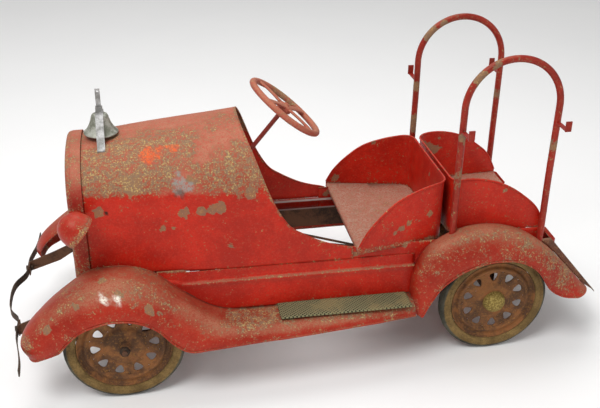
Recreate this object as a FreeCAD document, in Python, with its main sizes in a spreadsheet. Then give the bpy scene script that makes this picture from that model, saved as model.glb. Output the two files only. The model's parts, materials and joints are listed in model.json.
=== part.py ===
import FreeCAD, Part
import math
import os
import re
import Sketcher
from FreeCAD import Placement, Rotation, Vector

# Child's pedal car in pressed steel, fire-engine style.
# Axes: +X forward, +Y to the car's left, +Z up. The origin is on the ground under the middle of the car.
# Shapes are drawn from the rear axle's foot on the ground and moved by rear_axle_x.

doc = FreeCAD.newDocument("pedal_car")

DIMENSIONS = [
    ("rear_axle_x", -411),
    ("wheelbase", 826),
    ("wheel_radius", 127),
    ("tyre_width", 30),
    ("tyre_depth", 30),
    ("front_wheel_y", 206),
    ("rear_wheel_y", 165),
    ("disc_holes", 10),
    ("hole_circle_radius", 60.4),
    ("hole_width", 13),
    ("hub_radius", 14),
    ("hub_back", 20),
    ("hub_front", 22),
    ("axle_radius", 6),
    ("hub_nut_radius", 11),
    ("hub_nut_height", 8),
    ("running_clearance", 0.05),
    ("seat_gap", 0.3),
    ("sheet", 1.4),
    ("crank_throw", 40),
    ("crank_pin_y", 46),
    ("crank_pin_length", 8),
    ("crank_web", 6),
    ("rod_radius", 2.8),
    ("rod_eye_radius", 9),
    ("rod_eye_width", 6),
    ("pedal_shaft_x", 640),
    ("pedal_shaft_z", 400),
    ("pedal_arm_length", 190),
    ("pedal_eye_drop", 110),
    ("pedal_arm_width", 5),
    ("pedal_pad_length", 52),
    ("rail_y", 132),
    ("rail_width", 4),
    ("rail_bottom", 190),
    ("rail_height", 46),
    ("rail_front_x", 930),
    ("rail_rear_x", -112),
    ("horn_x", 1047),
    ("horn_y", 126),
    ("horn_z", 137),
    ("beam_height", 20),
    ("kingpin_y", 150),
    ("kingpin_radius", 5),
    ("knuckle_height", 36),
    ("knuckle_radius", 9),
    ("steering_arm", 60),
    ("tie_rod_width", 14),
    ("tie_rod_thickness", 4),
    ("column_radius", 5),
    ("column_top_x", 455),
    ("column_top_z", 555),
    ("column_foot_x", 772),
    ("column_foot_z", 165),
    ("steering_rim_radius", 87),
    ("steering_rim_section", 7),
    ("hood_front_gap", 59),
    ("hood_rear_x", 330),
    ("hood_bottom", 257),
    ("shoulder_height", 415),
    ("body_half_width", 152),
    ("radiator_depth", 30),
    ("sill_bottom", 166.8),
    ("sill_step", 230),
    ("board_height", 164),
    ("board_rear_x", 200),
    ("panel_height", 285),
    ("seat_front_x", 321),
    ("seat_back_x", 121),
    ("seat_front_half", 171),
    ("seat_back_half", 131),
    ("seat_lip", 10),
    ("seat_corner", 28),
    ("back_height", 417),
    ("rear_seat_back_x", 107),
    ("rear_seat_end_x", -106),
    ("rear_seat_end_half", 149),
    ("rear_seat_rise", 11),
    ("hoop_x", 7),
    ("hoop_y", 160.6),
    ("hoop_radius", 103),
    ("hoop_leg_top", 591),
    ("hoop_foot", 225),
    ("hoop_rod", 7.5),
    ("hook_reach", 45),
    ("bell_x", 843),
    ("bell_mouth_radius", 36),
    ("bell_mouth_z", 523),
    ("bell_height", 42),
    ("bell_strap_width", 16),
    ("lever_height", 48),
    ("lamp_x", 902),
    ("lamp_y", 176),
    ("lamp_z", 392),
    ("lamp_radius", 36),
    ("bumper_half_width", 284),
    ("bumper_height", 16),
    ("bumper_thickness", 2.5),
]

sheet = doc.addObject("Spreadsheet::Sheet", "Dimensions")
for row, (alias, value) in enumerate(DIMENSIONS, 1):
    sheet.set(f"A{row}", alias)
    sheet.set(f"B{row}", str(value))
    sheet.setAlias(f"B{row}", alias)
doc.recompute()

ALIASES = {alias for alias, value in DIMENSIONS}
D = {alias: float(sheet.get(alias)) for alias in ALIASES}
SIDES = (("left", 1), ("right", -1))
ARCH_SQUARENESS = 0.86
sub_parts = []


def bound(text):
    """An expression in which each alias is read from the sheet."""
    return re.sub(r"[a-z][a-z_]+", lambda word: "Dimensions." + word.group() if word.group() in ALIASES
                  else word.group(), str(text))


def keep(item, label):
    item.Label = label
    sub_parts.append(item)
    return item


def place(item, x, y, z, rotation=None):
    """Places a primitive by expressions, from the rear axle's foot."""
    item.Placement = Placement(Vector(), rotation or Rotation())
    item.setExpression("Placement.Base.x", bound(f"rear_axle_x + {x}"))
    item.setExpression("Placement.Base.y", bound(y))
    item.setExpression("Placement.Base.z", bound(z))


def box(length, width, height, x, y, z):
    """A block centred on x and y that stands on z."""
    item = doc.addObject("Part::Box", "block")
    item.setExpression("Length", bound(length))
    item.setExpression("Width", bound(width))
    item.setExpression("Height", bound(height))
    place(item, f"{x} - ({length}) / 2", f"{y} - ({width}) / 2", z)
    return item


def rod(radius, height, x, y, z, axis=Vector(0, 0, 1)):
    """A round bar that starts at x, y, z and runs along the axis."""
    item = doc.addObject("Part::Cylinder", "bar")
    item.setExpression("Radius", bound(radius))
    item.setExpression("Height", bound(height))
    place(item, x, y, z, Rotation(Vector(0, 0, 1), axis))
    return item


def fuse(items):
    item = doc.addObject("Part::MultiFuse", "joined")
    item.Shapes = items
    item.Refine = True
    return item


def cut(base, tool):
    item = doc.addObject("Part::Cut", "pierced")
    item.Base = base
    item.Tool = tool
    return item


def group(items):
    item = doc.addObject("Part::Compound", "set")
    item.Links = items
    return item


def feature(label, shape):
    """A sub-part whose shape is drawn from the rear axle's foot."""
    item = doc.addObject("Part::Feature", label)
    item.Shape = shape
    item.Placement = Placement(Vector(D["rear_axle_x"], 0, 0), Rotation()).multiply(shape.Placement)
    return keep(item, label)


def mirrored(shape):
    return shape.mirror(Vector(), Vector(0, 1, 0))


def spline(points):
    curve = Part.BSplineCurve()
    curve.interpolate(points)
    return curve.toShape()


def even_spline(points):
    """A smooth edge with even parameters, so that the edges of neighbouring sections match."""
    curve = Part.BSplineCurve()
    curve.interpolate(Points=points, Parameters=[i / (len(points) - 1) for i in range(len(points))])
    return curve.toShape()


def smooth_rows(rows, steps):
    """Rows of numbers with smoothly blended rows put between them."""
    blended = []
    for i in range(len(rows) - 1):
        around = [rows[max(i - 1, 0)], rows[i], rows[i + 1], rows[min(i + 2, len(rows) - 1)]]
        for step in range(steps):
            u = step / steps
            weights = (-0.5 * u + u * u - 0.5 * u ** 3, 1 - 2.5 * u * u + 1.5 * u ** 3,
                       0.5 * u + 2 * u * u - 1.5 * u ** 3, -0.5 * u * u + 0.5 * u ** 3)
            blended.append([sum(w * row[k] for w, row in zip(weights, around)) for k in range(len(rows[0]))])
    return blended + [list(rows[-1])]


def prism_y(points, y0, y1):
    """A solid with an outline in X and Z, from y0 to y1."""
    wire = Part.makePolygon([Vector(x, y0, z) for x, z in points + points[:1]])
    return Part.Face(wire).extrude(Vector(0, y1 - y0, 0))


# ---------------------------------------------------------------- wheels

def polygon_sketch(body, name, role, corners):
    """A closed outline on one of the body's planes, each corner bound to the sheet."""
    sketch = body.newObject("Sketcher::SketchObject", name)
    plane = next(item for item in body.Origin.OriginFeatures if item.Role == role)
    sketch.AttachmentSupport = (plane, [""])
    sketch.MapMode = "FlatFace"
    texts = [(bound(u), bound(v)) for u, v in corners]
    points = [Vector(float(sketch.evalExpression(u)), float(sketch.evalExpression(v)), 0) for u, v in texts]
    count = len(points)
    for i in range(count):
        sketch.addGeometry(Part.LineSegment(points[i], points[(i + 1) % count]), False)
    for i in range(count):
        sketch.addConstraint(Sketcher.Constraint("Coincident", i, 2, (i + 1) % count, 1))
    for i, (u, v) in enumerate(texts):
        for kind, text, value in (("DistanceX", u, points[i].x), ("DistanceY", v, points[i].y)):
            index = sketch.addConstraint(Sketcher.Constraint(kind, -1, 1, i, 1, value))
            sketch.setExpression(f"Constraints[{index}]", text)
    return sketch


def revolved_body(label, corners):
    """A body turned about its own Z axis; the corners are radius and height."""
    body = doc.addObject("PartDesign::Body", label)
    outline = polygon_sketch(body, label + "_outline", "XZ_Plane", corners)
    turned = body.newObject("PartDesign::Revolution", label + "_turned")
    turned.Profile = outline
    turned.ReferenceAxis = (outline, ["V_Axis"])
    turned.Angle = 360
    doc.recompute()
    return body, outline


def wheel_placement(body, x, y, side):
    """Turns a body's Z axis outwards along the axle and puts it on the wheel's centre."""
    place(body, x, y, "wheel_radius", Rotation(Vector(0, 0, 1), Vector(0, side, 0)))


def wheel_disc(label, x, y, side, hub_front):
    """A pressed disc with a rim band, a raised ring and triangular lightening holes."""
    rim = "(wheel_radius - tyre_depth)"
    bore = "(axle_radius + running_clearance)"
    corners = [
        (bore, "-hub_back"), ("hub_radius", "-hub_back"), ("hub_radius", 7), ("hub_radius + 23", 7),
        ("hub_radius + 31", 2), (f"{rim} - 23", 2), (f"{rim} - 18", 6), (f"{rim} - 13", 6),
        (f"{rim} - 9", 1.5), (f"{rim} - 3", 1.5), (f"{rim} - 3", "-tyre_width * 0.4"),
        (rim, "-tyre_width * 0.4"), (rim, "tyre_width * 0.4"), (f"{rim} - 3", "tyre_width * 0.4"),
        (f"{rim} - 3", 4), (f"{rim} - 8", 4), (f"{rim} - 12", 8.5), (f"{rim} - 19", 8.5),
        (f"{rim} - 24", 4.5), ("hub_radius + 32", 4.5), ("hub_radius + 24", 9.5), ("hub_radius", 9.5),
        ("hub_radius", hub_front), (bore, hub_front),
    ]
    body, outline = revolved_body(label, corners)
    hole = polygon_sketch(body, label + "_hole", "XY_Plane", [
        ("hole_circle_radius - 7", "-hole_width * 0.22"), ("hole_circle_radius + 4", "-hole_width * 0.5"),
        ("hole_circle_radius + 6.5", "-hole_width * 0.3"), ("hole_circle_radius + 6.5", "hole_width * 0.3"),
        ("hole_circle_radius + 4", "hole_width * 0.5"), ("hole_circle_radius - 7", "hole_width * 0.22"),
    ])
    pocket = body.newObject("PartDesign::Pocket", label + "_pierced")
    pocket.Profile = hole
    pocket.Type = "ThroughAll"
    pocket.Midplane = True
    doc.recompute()
    ring = body.newObject("PartDesign::PolarPattern", label + "_holes")
    ring.Originals = [pocket]
    ring.Axis = (outline, ["V_Axis"])
    ring.Angle = 360
    ring.setExpression("Occurrences", bound("disc_holes"))
    body.Tip = ring
    wheel_placement(body, x, y, side)
    return keep(body, label)


def tyre(label, x, y, side):
    """A solid rubber tyre with a crowned tread."""
    outer = D["wheel_radius"]
    inner = outer - D["tyre_depth"] + 0.1
    half = D["tyre_width"] / 2
    crown = [(outer - 12, -half), (outer - 4, -half * 0.8), (outer - 0.5, -half * 0.3), (outer, 0),
             (outer - 0.5, half * 0.3), (outer - 4, half * 0.8), (outer - 12, half)]
    start = Vector(inner, 0, -half * 0.85)
    end = Vector(inner, 0, half * 0.85)
    points = [Vector(r, 0, z) for r, z in crown]
    edges = [Part.LineSegment(start, points[0]).toShape(), spline(points),
             Part.LineSegment(points[-1], end).toShape(), Part.LineSegment(end, start).toShape()]
    solid = Part.Face(Part.Wire(edges)).revolve(Vector(), Vector(0, 0, 1), 360)
    item = doc.addObject("Part::Feature", label)
    item.Shape = solid
    wheel_placement(item, x, y, side)
    return keep(item, label)


def wheels():
    for name, side in SIDES:
        sign = "" if side > 0 else "-"
        wheel_disc(f"front_wheel_{name}", "wheelbase", f"{sign}front_wheel_y", side, "hub_front")
        tyre(f"front_tyre_{name}", "wheelbase", f"{sign}front_wheel_y", side)
        wheel_disc(f"rear_wheel_{name}", "0", f"{sign}rear_wheel_y", side, "hub_front - 8")
        tyre(f"rear_tyre_{name}", "0", f"{sign}rear_wheel_y", side)
        cap, outline = revolved_body(f"hub_cap_{name}", [
            (0, 31), (8, 30.2), (15, 27.5), (21, 22.5), (25, 16), (26, 9.8), (23.5, 9.8), (22, 16),
            (18.5, 21), (13, 25.4), (7, 27.8), (0, 28.5)])
        wheel_placement(cap, "0", f"{sign}rear_wheel_y", side)
        keep(cap, f"hub_cap_{name}")


# ---------------------------------------------------------------- body shell

def body_half(x):
    """Half the body's width at a station: it narrows towards the radiator."""
    front = D["wheelbase"] + D["hood_front_gap"]
    taper = max(0.0, (x - 560) / (front - 560))
    return D["body_half_width"] - 24 * taper ** 1.4


def hood_top(x):
    return 509 + 36 * (D["wheelbase"] + D["hood_front_gap"] - x) / 325


def hood_height(x, y):
    """The height of the hood's outer surface at a place across it."""
    across = (abs(y) / body_half(x)) ** (1 / ARCH_SQUARENESS)
    rise = hood_top(x) - D["shoulder_height"]
    return D["shoulder_height"] + rise * math.sqrt(1 - across ** 2) ** ARCH_SQUARENESS


def arch_section(x, half, bottom, shoulder, top):
    """A closed section across the body: upright sides under a crowned top."""
    rise = top - shoulder
    crown = []
    for step in range(13):
        angle = math.pi * step / 12
        squared = [math.copysign(abs(v) ** ARCH_SQUARENESS, v) for v in (math.cos(angle), math.sin(angle))]
        crown.append(Vector(x, half * squared[0], shoulder + rise * squared[1]))
    left_foot = Vector(x, half, bottom)
    right_foot = Vector(x, -half, bottom)
    edges = [Part.LineSegment(left_foot, crown[0]).toShape(), even_spline(crown),
             Part.LineSegment(crown[-1], right_foot).toShape(),
             Part.LineSegment(right_foot, left_foot).toShape()]
    return Part.Wire(edges)


def arch_solid(stations, inset, bottom):
    sections = []
    for x in stations:
        sections.append(arch_section(x, body_half(x) - inset, bottom, D["shoulder_height"],
                                     hood_top(x) - inset))
    return Part.makeLoft(sections, True, True)


def cockpit_outline():
    """The raked back edge of the cowl, swept down into the cockpit side."""
    curve = spline([Vector(x, 0, z) for x, z in (
        (566, 560), (542, 509), (505, 411), (472, 352), (440, 327), (395, 303), (355, 290), (325, 285))])
    return [(p.x, p.z) for p in curve.discretize(40)]


def hood():
    front = D["wheelbase"] + D["hood_front_gap"]
    rear = D["hood_rear_x"]
    steps = 12
    stations = [front + (rear - front) * i / steps for i in range(steps + 1)]
    long_stations = [front + 1] + stations[1:-1] + [rear - 1]
    shell = arch_solid(stations, 0, D["hood_bottom"]).cut(
        arch_solid(long_stations, D["sheet"], D["hood_bottom"] - 5))
    away = prism_y(cockpit_outline() + [(rear - 30, 285), (rear - 30, 700), (566, 700)], -300, 300)
    feature("hood", shell.cut(away))


def radiator():
    front = D["wheelbase"] + D["hood_front_gap"]
    base = D["hood_bottom"] - 35
    half = body_half(front) + 3
    top = hood_top(front) + 3
    shoulder = D["shoulder_height"]
    depth = D["radiator_depth"]

    def block(x0, x1, inset, foot):
        sections = [arch_section(x, half - inset, foot, shoulder, top - inset) for x in (x0, x1)]
        return Part.makeLoft(sections, True, True)

    start = front + D["seat_gap"]
    shell = block(start, start + depth, 0, base)
    shell = shell.cut(block(start - 1, start + depth - 3, D["sheet"] + 1.6, base - 5))
    shell = shell.cut(block(start + depth - 5, start + depth + 5, 14, base - 5))
    feature("radiator_shell", shell)
    inset = D["sheet"] + 1.6 + 2 * D["seat_gap"]
    plate = block(start + depth - 3 - D["seat_gap"] - 2, start + depth - 3 - D["seat_gap"], inset, base + 12)
    for bar in range(-4, 5):
        rib = Part.makeBox(2.5, 5, 190, Vector(start + depth - 3 - D["seat_gap"] - 0.5, bar * 20 - 2.5, 250))
        plate = plate.fuse(rib)
    feature("radiator_grille", plate.removeSplitter())


def side_panels():
    """Panels behind the cockpit: they carry both seats and are arched over the rear wheels."""
    step = D["panel_height"] + D["rear_seat_rise"] - 0.5
    low = D["sill_step"] - 2
    seat = D["panel_height"] - D["seat_gap"]
    lip = D["seat_front_x"] - 3
    rear = D["rear_seat_end_x"] + 2
    top, foot, square = tail_line()
    tail_top = top + square * (1 + D["seat_gap"] / 1.5)
    fall = (tail_top.z - low) / (top.z - foot.z)
    outline = [(345, low), (345, seat - 16), (lip, seat - 16), (lip, seat), (126, seat), (112, step),
               (rear, step), (rear, tail_top.z), (tail_top.x, tail_top.z),
               (tail_top.x + (foot.x - top.x) * fall, low)]
    inner = D["body_half_width"] - D["sheet"] * 3 - 2 * D["seat_gap"]
    panel = prism_y(outline, inner, inner + D["sheet"])
    arch = Part.makeCylinder(D["wheel_radius"] + 13, 40, Vector(0, inner - 20, D["wheel_radius"]),
                             Vector(0, 1, 0))
    panel = panel.cut(arch)
    feature("side_panel_left", panel)
    feature("side_panel_right", mirrored(panel))


def sill_body(name, side):
    """The stepped valance between the hood or side panel and the running board."""
    body = doc.addObject("PartDesign::Body", f"sill_{name}")
    wall = "body_half_width - sheet - seat_gap"
    corners = [
        (wall, "hood_bottom - seat_gap"), (wall, "sill_step + 3"), ("body_half_width + 7", "sill_step - 2"),
        ("body_half_width + 12", "sill_bottom"), (f"body_half_width + 12 - sheet", "sill_bottom"),
        ("body_half_width + 7 - sheet", "sill_step - 3.2"), (f"{wall} - sheet", "sill_step + 1.8"),
        (f"{wall} - sheet", "hood_bottom - seat_gap")]
    if side < 0:
        corners = [(f"-({u})", v) for u, v in corners]
    outline = polygon_sketch(body, f"sill_{name}_outline", "YZ_Plane", corners)
    pad = body.newObject("PartDesign::Pad", f"sill_{name}_pad")
    pad.Profile = outline
    pad.setExpression("Length", bound("wheelbase - 136 - board_rear_x"))
    place(body, "board_rear_x", "0", "0")
    keep(body, f"sill_{name}")


def fender_section(kx, kz, ax, az, inner_y, crown_y, outer_y, drop):
    """A closed sheet section from the crown k to the edge a: a lip, a crown and a skirt."""
    fall = Vector(ax - kx, 0, az - kz)
    depth = fall.Length
    fall.normalize()

    def point(y, down):
        return Vector(kx, y, kz) + fall * down

    outer = [(inner_y, drop), (inner_y * 0.5 + crown_y * 0.5, drop * 0.25)]
    for step in range(7):
        angle = math.pi / 2 * step / 6
        outer.append((crown_y + (outer_y - crown_y) * math.sin(angle), depth * (1 - math.cos(angle))))
    inner = []
    thick = D["sheet"]
    for i, (y, down) in enumerate(outer):
        before = outer[max(i - 1, 0)]
        after = outer[min(i + 1, len(outer) - 1)]
        along = Vector(after[0] - before[0], after[1] - before[1], 0)
        along.normalize()
        inner.append((y - along.y * thick, down + along.x * thick))
    outer_points = [point(y, down) for y, down in outer]
    inner_points = [point(y, down) for y, down in inner]
    edges = [even_spline(outer_points), Part.LineSegment(outer_points[-1], inner_points[-1]).toShape(),
             even_spline(inner_points[::-1]), Part.LineSegment(inner_points[0], outer_points[0]).toShape()]
    return Part.Wire(edges)


def front_fenders():
    """A fender that sweeps down into the running board as one pressing."""
    hub = D["wheelbase"]
    size = D["wheel_radius"] / 127
    level = D["board_height"]
    rear = D["board_rear_x"]
    width = D["body_half_width"]
    reach = D["front_wheel_y"] + 51
    around = [
        ((194, -3), (168, 8), 170, 206, reach - 13, 5), ((209, 20), (138, 22), 164, 203, reach - 5, 12),
        ((196, 54), (125, 31), 156, 201, reach - 1, 12), ((164, 87), (108, 51), 148, 200, reach, 11),
        ((119, 121), (82, 73), 141, 200, reach, 10), ((67, 151), (46, 86), 136, 200, reach, 9),
        ((17, 160), (12, 90), 140, 200, reach, 8), ((-31, 155), (-31, 83), 145, 201, reach, 6),
        ((-76, 135), (-71, 59), 150, 204, reach, 4), ((-120, 102), (-104, 21), 162.6, 212, reach, 3),
        ((-158, 73), (-136, 0), 164.6, 222, reach, 2)]
    rows = []
    for crown, edge, inner_y, crown_y, outer_y, drop in around:
        at_x = hub + crown[0] * size
        gap = 12.6 if inner_y > width else 0.6
        rows.append((at_x, D["wheel_radius"] + crown[1] * size, hub + edge[0] * size,
                     D["wheel_radius"] + edge[1] * size, max(inner_y, body_half(at_x) + gap), crown_y,
                     outer_y, drop))
    along = [
        (hub - 194, level + 13, hub - 176, level - 35, 228, reach + 1),
        (hub - 236, level + 2, hub - 231, level - 32, 233, reach),
        (hub - 306, level, hub - 306, level - 28, 234, reach - 2),
        (0.5 * (hub - 306 + rear), level + 1, 0.5 * (hub - 306 + rear), level - 25, 218, reach - 14),
        (rear, level + 2, rear, level - 21, 202, reach - 31)]
    for kx, kz, ax, az, crown_y, outer_y in along:
        rows.append((kx, kz, ax, az, width + 12.6, crown_y, outer_y, 0.5))
    shell = Part.makeLoft([fender_section(*row) for row in smooth_rows(rows, 3)], True, True)
    feature("front_fender_left", shell)
    feature("front_fender_right", mirrored(shell))


def rear_fenders():
    """A rear fender with holes for the legs of the grab hoop."""
    size = D["wheel_radius"] / 127
    inner_y = D["body_half_width"] + D["seat_gap"]
    outer_y = D["rear_wheel_y"] + 49
    stations = [
        ((197, 10), (180, 1)), ((200, 52), (166, 32)), ((192, 98), (146, 66)), ((162, 151), (120, 90)),
        ((100, 185), (84, 112)), ((33, 194), (30, 126)), ((-38, 179), (-32, 121)), ((-100, 142), (-80, 92)),
        ((-146, 98), (-114, 44)), ((-188, 53), (-150, 20)), ((-216, 22), (-186, 14))]
    rows = []
    for crown, edge in stations:
        rows.append((crown[0] * size, D["wheel_radius"] + crown[1] * size, edge[0] * size,
                     D["wheel_radius"] + edge[1] * size, inner_y, inner_y + 32, outer_y, 3))
    shell = Part.makeLoft([fender_section(*row) for row in smooth_rows(rows, 3)], True, True)
    for leg in (-1, 1):
        hole = Part.makeCylinder(D["hoop_rod"] + D["seat_gap"], 300,
                                 Vector(D["hoop_x"] + leg * D["hoop_radius"], D["hoop_y"], 150))
        shell = shell.cut(hole)
    shell = max(shell.Solids, key=lambda solid: solid.Volume)
    feature("rear_fender_left", shell)
    feature("rear_fender_right", mirrored(shell))


def tail_line():
    """The tail plate's top and foot, and its thickness as a vector."""
    top = Vector(D["rear_seat_end_x"] - 10, 0, D["panel_height"] - 2)
    foot = Vector(D["rear_seat_end_x"] - 148, 0, D["wheel_radius"] - 6)
    along = foot - top
    square = Vector(-along.z, 0, along.x)
    square.normalize()
    return top, foot, square * 1.5


def tail_plate():
    """The flat sloping plate across the tail."""
    top, foot, square = tail_line()
    corners = [top, foot, foot + square, top + square]
    plate = prism_y([(p.x, p.z) for p in corners], -165, 165)
    feature("tail_plate", plate)


def tread_mat(name, side):
    """A ribbed mat on the running board, with cut corners."""
    front = D["wheelbase"] - 331
    rear = D["board_rear_x"] + 14
    inner = D["body_half_width"] + 17
    level = D["board_height"] + 2.6
    outline = [(front, inner), (front, inner + 56), (rear, inner + 30), (rear, inner)]
    wire = Part.makePolygon([Vector(x, y, level) for x, y in outline + outline[:1]])
    mat = Part.Face(wire).extrude(Vector(0, 0, 2))
    feature(f"step_mat_{name}", mat if side > 0 else mirrored(mat))


# ---------------------------------------------------------------- seats

def seat_plan(x_back, x_end, half_back, half_end, corner, bottom, height):
    """A solid block of the seat's plan with rounded corners at the back."""
    outline = [(x_end, half_end), (x_back, half_back), (x_back, -half_back), (x_end, -half_end)]
    wire = Part.makePolygon([Vector(x, y, bottom) for x, y in outline + outline[:1]])
    block = Part.Face(wire).extrude(Vector(0, 0, height))
    corners = [edge for edge in block.Edges if abs(edge.BoundBox.ZLength - height) < 0.01
               and abs(edge.BoundBox.XMin - x_back) < 0.5]
    return block.makeFillet(corner, corners)


def seat_back(label, x_back, x_end, half_end, base, profile):
    """A sheet wrapped round the back and both sides of a seat, cut to a rounded profile."""
    sign = 1 if x_end > x_back else -1
    thick = D["sheet"]
    half_back = D["seat_back_half"]
    height = D["back_height"] + 30 - base
    outer = seat_plan(x_back, x_end, half_back, half_end, D["seat_corner"], base, height)
    inner = seat_plan(x_back + sign * thick, x_end + sign * 5, half_back - thick, half_end - thick + 1,
                      D["seat_corner"] - thick, base - 5, height + 10)
    top = spline([Vector(x, 0, z) for x, z in profile])
    points = [(p.x, p.z) for p in top.discretize(30)]
    keep_side = prism_y(points + [(x_back - sign * 5, profile[-1][1]), (x_back - sign * 5, base),
                                  (profile[0][0], base)], -200, 200)
    feature(label, outer.cut(inner).common(keep_side))


def seat_pan(label, x_back, x_end, half_end, base):
    """A flat seat with a lip turned down at its open end."""
    sign = 1 if x_end > x_back else -1
    thick = D["sheet"]
    gap = D["seat_gap"]
    start = x_back + sign * (thick + gap)
    slope = (half_end - D["seat_back_half"]) / abs(x_end - x_back)
    half_start = D["seat_back_half"] - thick - gap - 0.2 + slope * thick
    half_end = half_end - thick - gap - 0.2
    plan = seat_plan(start, x_end + sign, half_start, half_end, D["seat_corner"] - thick - gap, base, thick)
    drop = D["seat_lip"]
    lip_x = x_end + sign - (thick if sign > 0 else 0)
    lip = Part.makeBox(thick, 2 * half_end, drop, Vector(lip_x, -half_end, base + thick - drop))
    feature(label, plan.fuse(lip).removeSplitter())


def seats():
    base = D["panel_height"]
    high = D["back_height"]
    back = D["seat_back_x"]
    end = D["seat_front_x"]
    long = end - back
    half = D["seat_front_half"]
    seat_back("front_seat_back", back, end, half, base, [
        (end + 1, base + 4), (end - 0.08 * long, base + 36), (end - 0.22 * long, high - 63),
        (end - 0.42 * long, high - 30), (end - 0.65 * long, high - 12), (end - 0.85 * long, high - 3),
        (back - 1, high)])
    seat_pan("front_seat_pan", back, end, half, base)
    base = base + D["rear_seat_rise"]
    back = D["rear_seat_back_x"]
    end = D["rear_seat_end_x"]
    long = back - end
    half = D["rear_seat_end_half"]
    seat_back("rear_seat_back", back, end, half, base, [
        (end - 1, base + 6), (end + 0.10 * long, high - 72), (end + 0.25 * long, high - 42),
        (end + 0.43 * long, high - 17), (end + 0.62 * long, high - 2), (end + 0.82 * long, high + 3),
        (back + 1, high - 2)])
    seat_pan("rear_seat_pan", back, end, half, base)


# ---------------------------------------------------------------- hoops, hooks and bumper

def hoops():
    """A round rod bent over the rear seat on each side."""
    x, y, r = D["hoop_x"], D["hoop_y"], D["hoop_radius"]
    foot, leg_top = D["hoop_foot"], D["hoop_leg_top"]
    path = Part.Wire([
        Part.LineSegment(Vector(x + r, y, foot), Vector(x + r, y, leg_top)).toShape(),
        Part.Arc(Vector(x + r, y, leg_top), Vector(x, y, leg_top + r), Vector(x - r, y, leg_top)).toShape(),
        Part.LineSegment(Vector(x - r, y, leg_top), Vector(x - r, y, foot)).toShape()])
    ring = Part.Wire(Part.makeCircle(D["hoop_rod"], Vector(x + r, y, foot), Vector(0, 0, 1)))
    rail = path.makePipeShell([ring], True, False)
    feature("grab_hoop_left", rail)
    feature("grab_hoop_right", mirrored(rail))


def hose_hooks():
    """A flat hook on the outside of each hoop leg."""
    hooks = []
    for name, side in SIDES:
        sign = "" if side > 0 else "-"
        for leg, height in (("+", "hoop_leg_top - 48"), ("-", "hoop_leg_top - 40")):
            x = f"hoop_x {leg} hoop_radius"
            arm = box("10", "hook_reach", "3", x, f"{sign}(hoop_y + hoop_rod + seat_gap + hook_reach / 2)",
                      height)
            tab = box("13", "3", "22", x, f"{sign}(hoop_y + hoop_rod + seat_gap + hook_reach - 1.5)", height)
            hooks.append(fuse([arm, tab]))
    keep(group(hooks), "hose_hooks")


def strip_edges(stretches, shift, base):
    """The edges of one side of the strip: each stretch leaves and arrives square to the car."""
    edges = []
    for points in stretches:
        places = [Vector(x + shift, y, base) for x, y in points]
        if len(places) == 2:
            edges.append(Part.LineSegment(places[0], places[1]).toShape())
        else:
            curve = Part.BSplineCurve()
            curve.interpolate(Points=places, InitialTangent=Vector(0, 1, 0), FinalTangent=Vector(0, 1, 0))
            edges.append(curve.toShape())
    return edges


def bumper():
    """A thin strip on edge, pushed out of line between its two bolts."""
    face = D["horn_x"] + D["seat_gap"]
    bolt = D["horn_y"]
    thick = D["bumper_thickness"]
    half = D["bumper_half_width"]
    seat = 17
    stretches = [
        [(face - 15, -half), (face - 9, 0.5 * (-half - bolt)), (face, -bolt - seat)],
        [(face, -bolt - seat), (face, -bolt + seat)],
        [(face, -bolt + seat), (face + 17, -62), (face + 26, 15), (face + 15, 72), (face, bolt - seat)],
        [(face, bolt - seat), (face, bolt + seat)],
        [(face, bolt + seat), (face - 8, 0.5 * (half + bolt)), (face - 17, half)]]
    base = D["horn_z"] - D["bumper_height"] / 2
    back = strip_edges(stretches, 0, base)
    front = strip_edges(stretches, thick, base)
    ends = []
    for x, y in (stretches[0][0], stretches[-1][-1]):
        ends.append(Part.LineSegment(Vector(x, y, base), Vector(x + thick, y, base)).toShape())
    outline = Part.Wire(Part.__sortEdges__(back + front + ends))
    strip = Part.Face(outline).extrude(Vector(0, 0, D["bumper_height"]))
    for side in (-1, 1):
        strip = strip.cut(Part.makeCylinder(3.2, 40, Vector(face - 20, side * bolt, D["horn_z"]),
                                            Vector(1, 0, 0)))
    feature("bumper", strip)
    bolts = []
    for side in ("-", ""):
        y = f"{side}horn_y"
        bolts.append(fuse([
            rod("2.9", "16", "horn_x - 9", y, "horn_z", Vector(1, 0, 0)),
            rod("6", "4", "horn_x + 2 * seat_gap + bumper_thickness", y, "horn_z", Vector(1, 0, 0)),
            rod("5.5", "4.5", "horn_x - 8.5", y, "horn_z", Vector(1, 0, 0))]))
    keep(group(bolts), "bumper_bolts")


# ---------------------------------------------------------------- frame

def frame_rails():
    """Flat rails on edge; each runs down to a foot that carries the bumper."""
    low = D["rail_bottom"]
    high = low + D["rail_height"]
    front = D["rail_front_x"]
    tip = D["horn_x"]
    z = D["horn_z"]
    outline = [(D["rail_rear_x"], low), (front - 20, low), (front + 45, z + 12), (tip, z - 12), (tip, z + 12),
               (front + 55, z + 36), (front, low + 8), (front - 48, low + 29), (front - 82, high),
               (D["rail_rear_x"], high)]
    inner = D["rail_y"] - D["rail_width"] / 2
    rail = prism_y(outline, inner, inner + D["rail_width"])
    foot = Part.makeBox(3, 26, 24, Vector(tip - 3, D["horn_y"] - 16, z - 12))
    foot = foot.cut(Part.makeCylinder(3.2, 20, Vector(tip - 10, D["horn_y"], z), Vector(1, 0, 0)))
    rail = rail.cut(Part.makeCylinder(6.5, 20, Vector(tip - 23, D["horn_y"], z), Vector(1, 0, 0)))
    rail = rail.fuse(foot).removeSplitter()
    feature("frame_rail_left", rail)
    feature("frame_rail_right", mirrored(rail))


def cross_members():
    """Flat bars under the rails that tie them to the running boards and the tail.

    None stands between them, where the push rods swing.
    """
    bars = []
    for x, half in (("wheelbase - 190", "body_half_width + 8.6"), ("-94", "rail_y + rail_width")):
        bars.append(box("24", f"2 * ({half})", "6", x, "0", "rail_bottom - 6 - seat_gap"))
    keep(group(bars), "cross_members")


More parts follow.
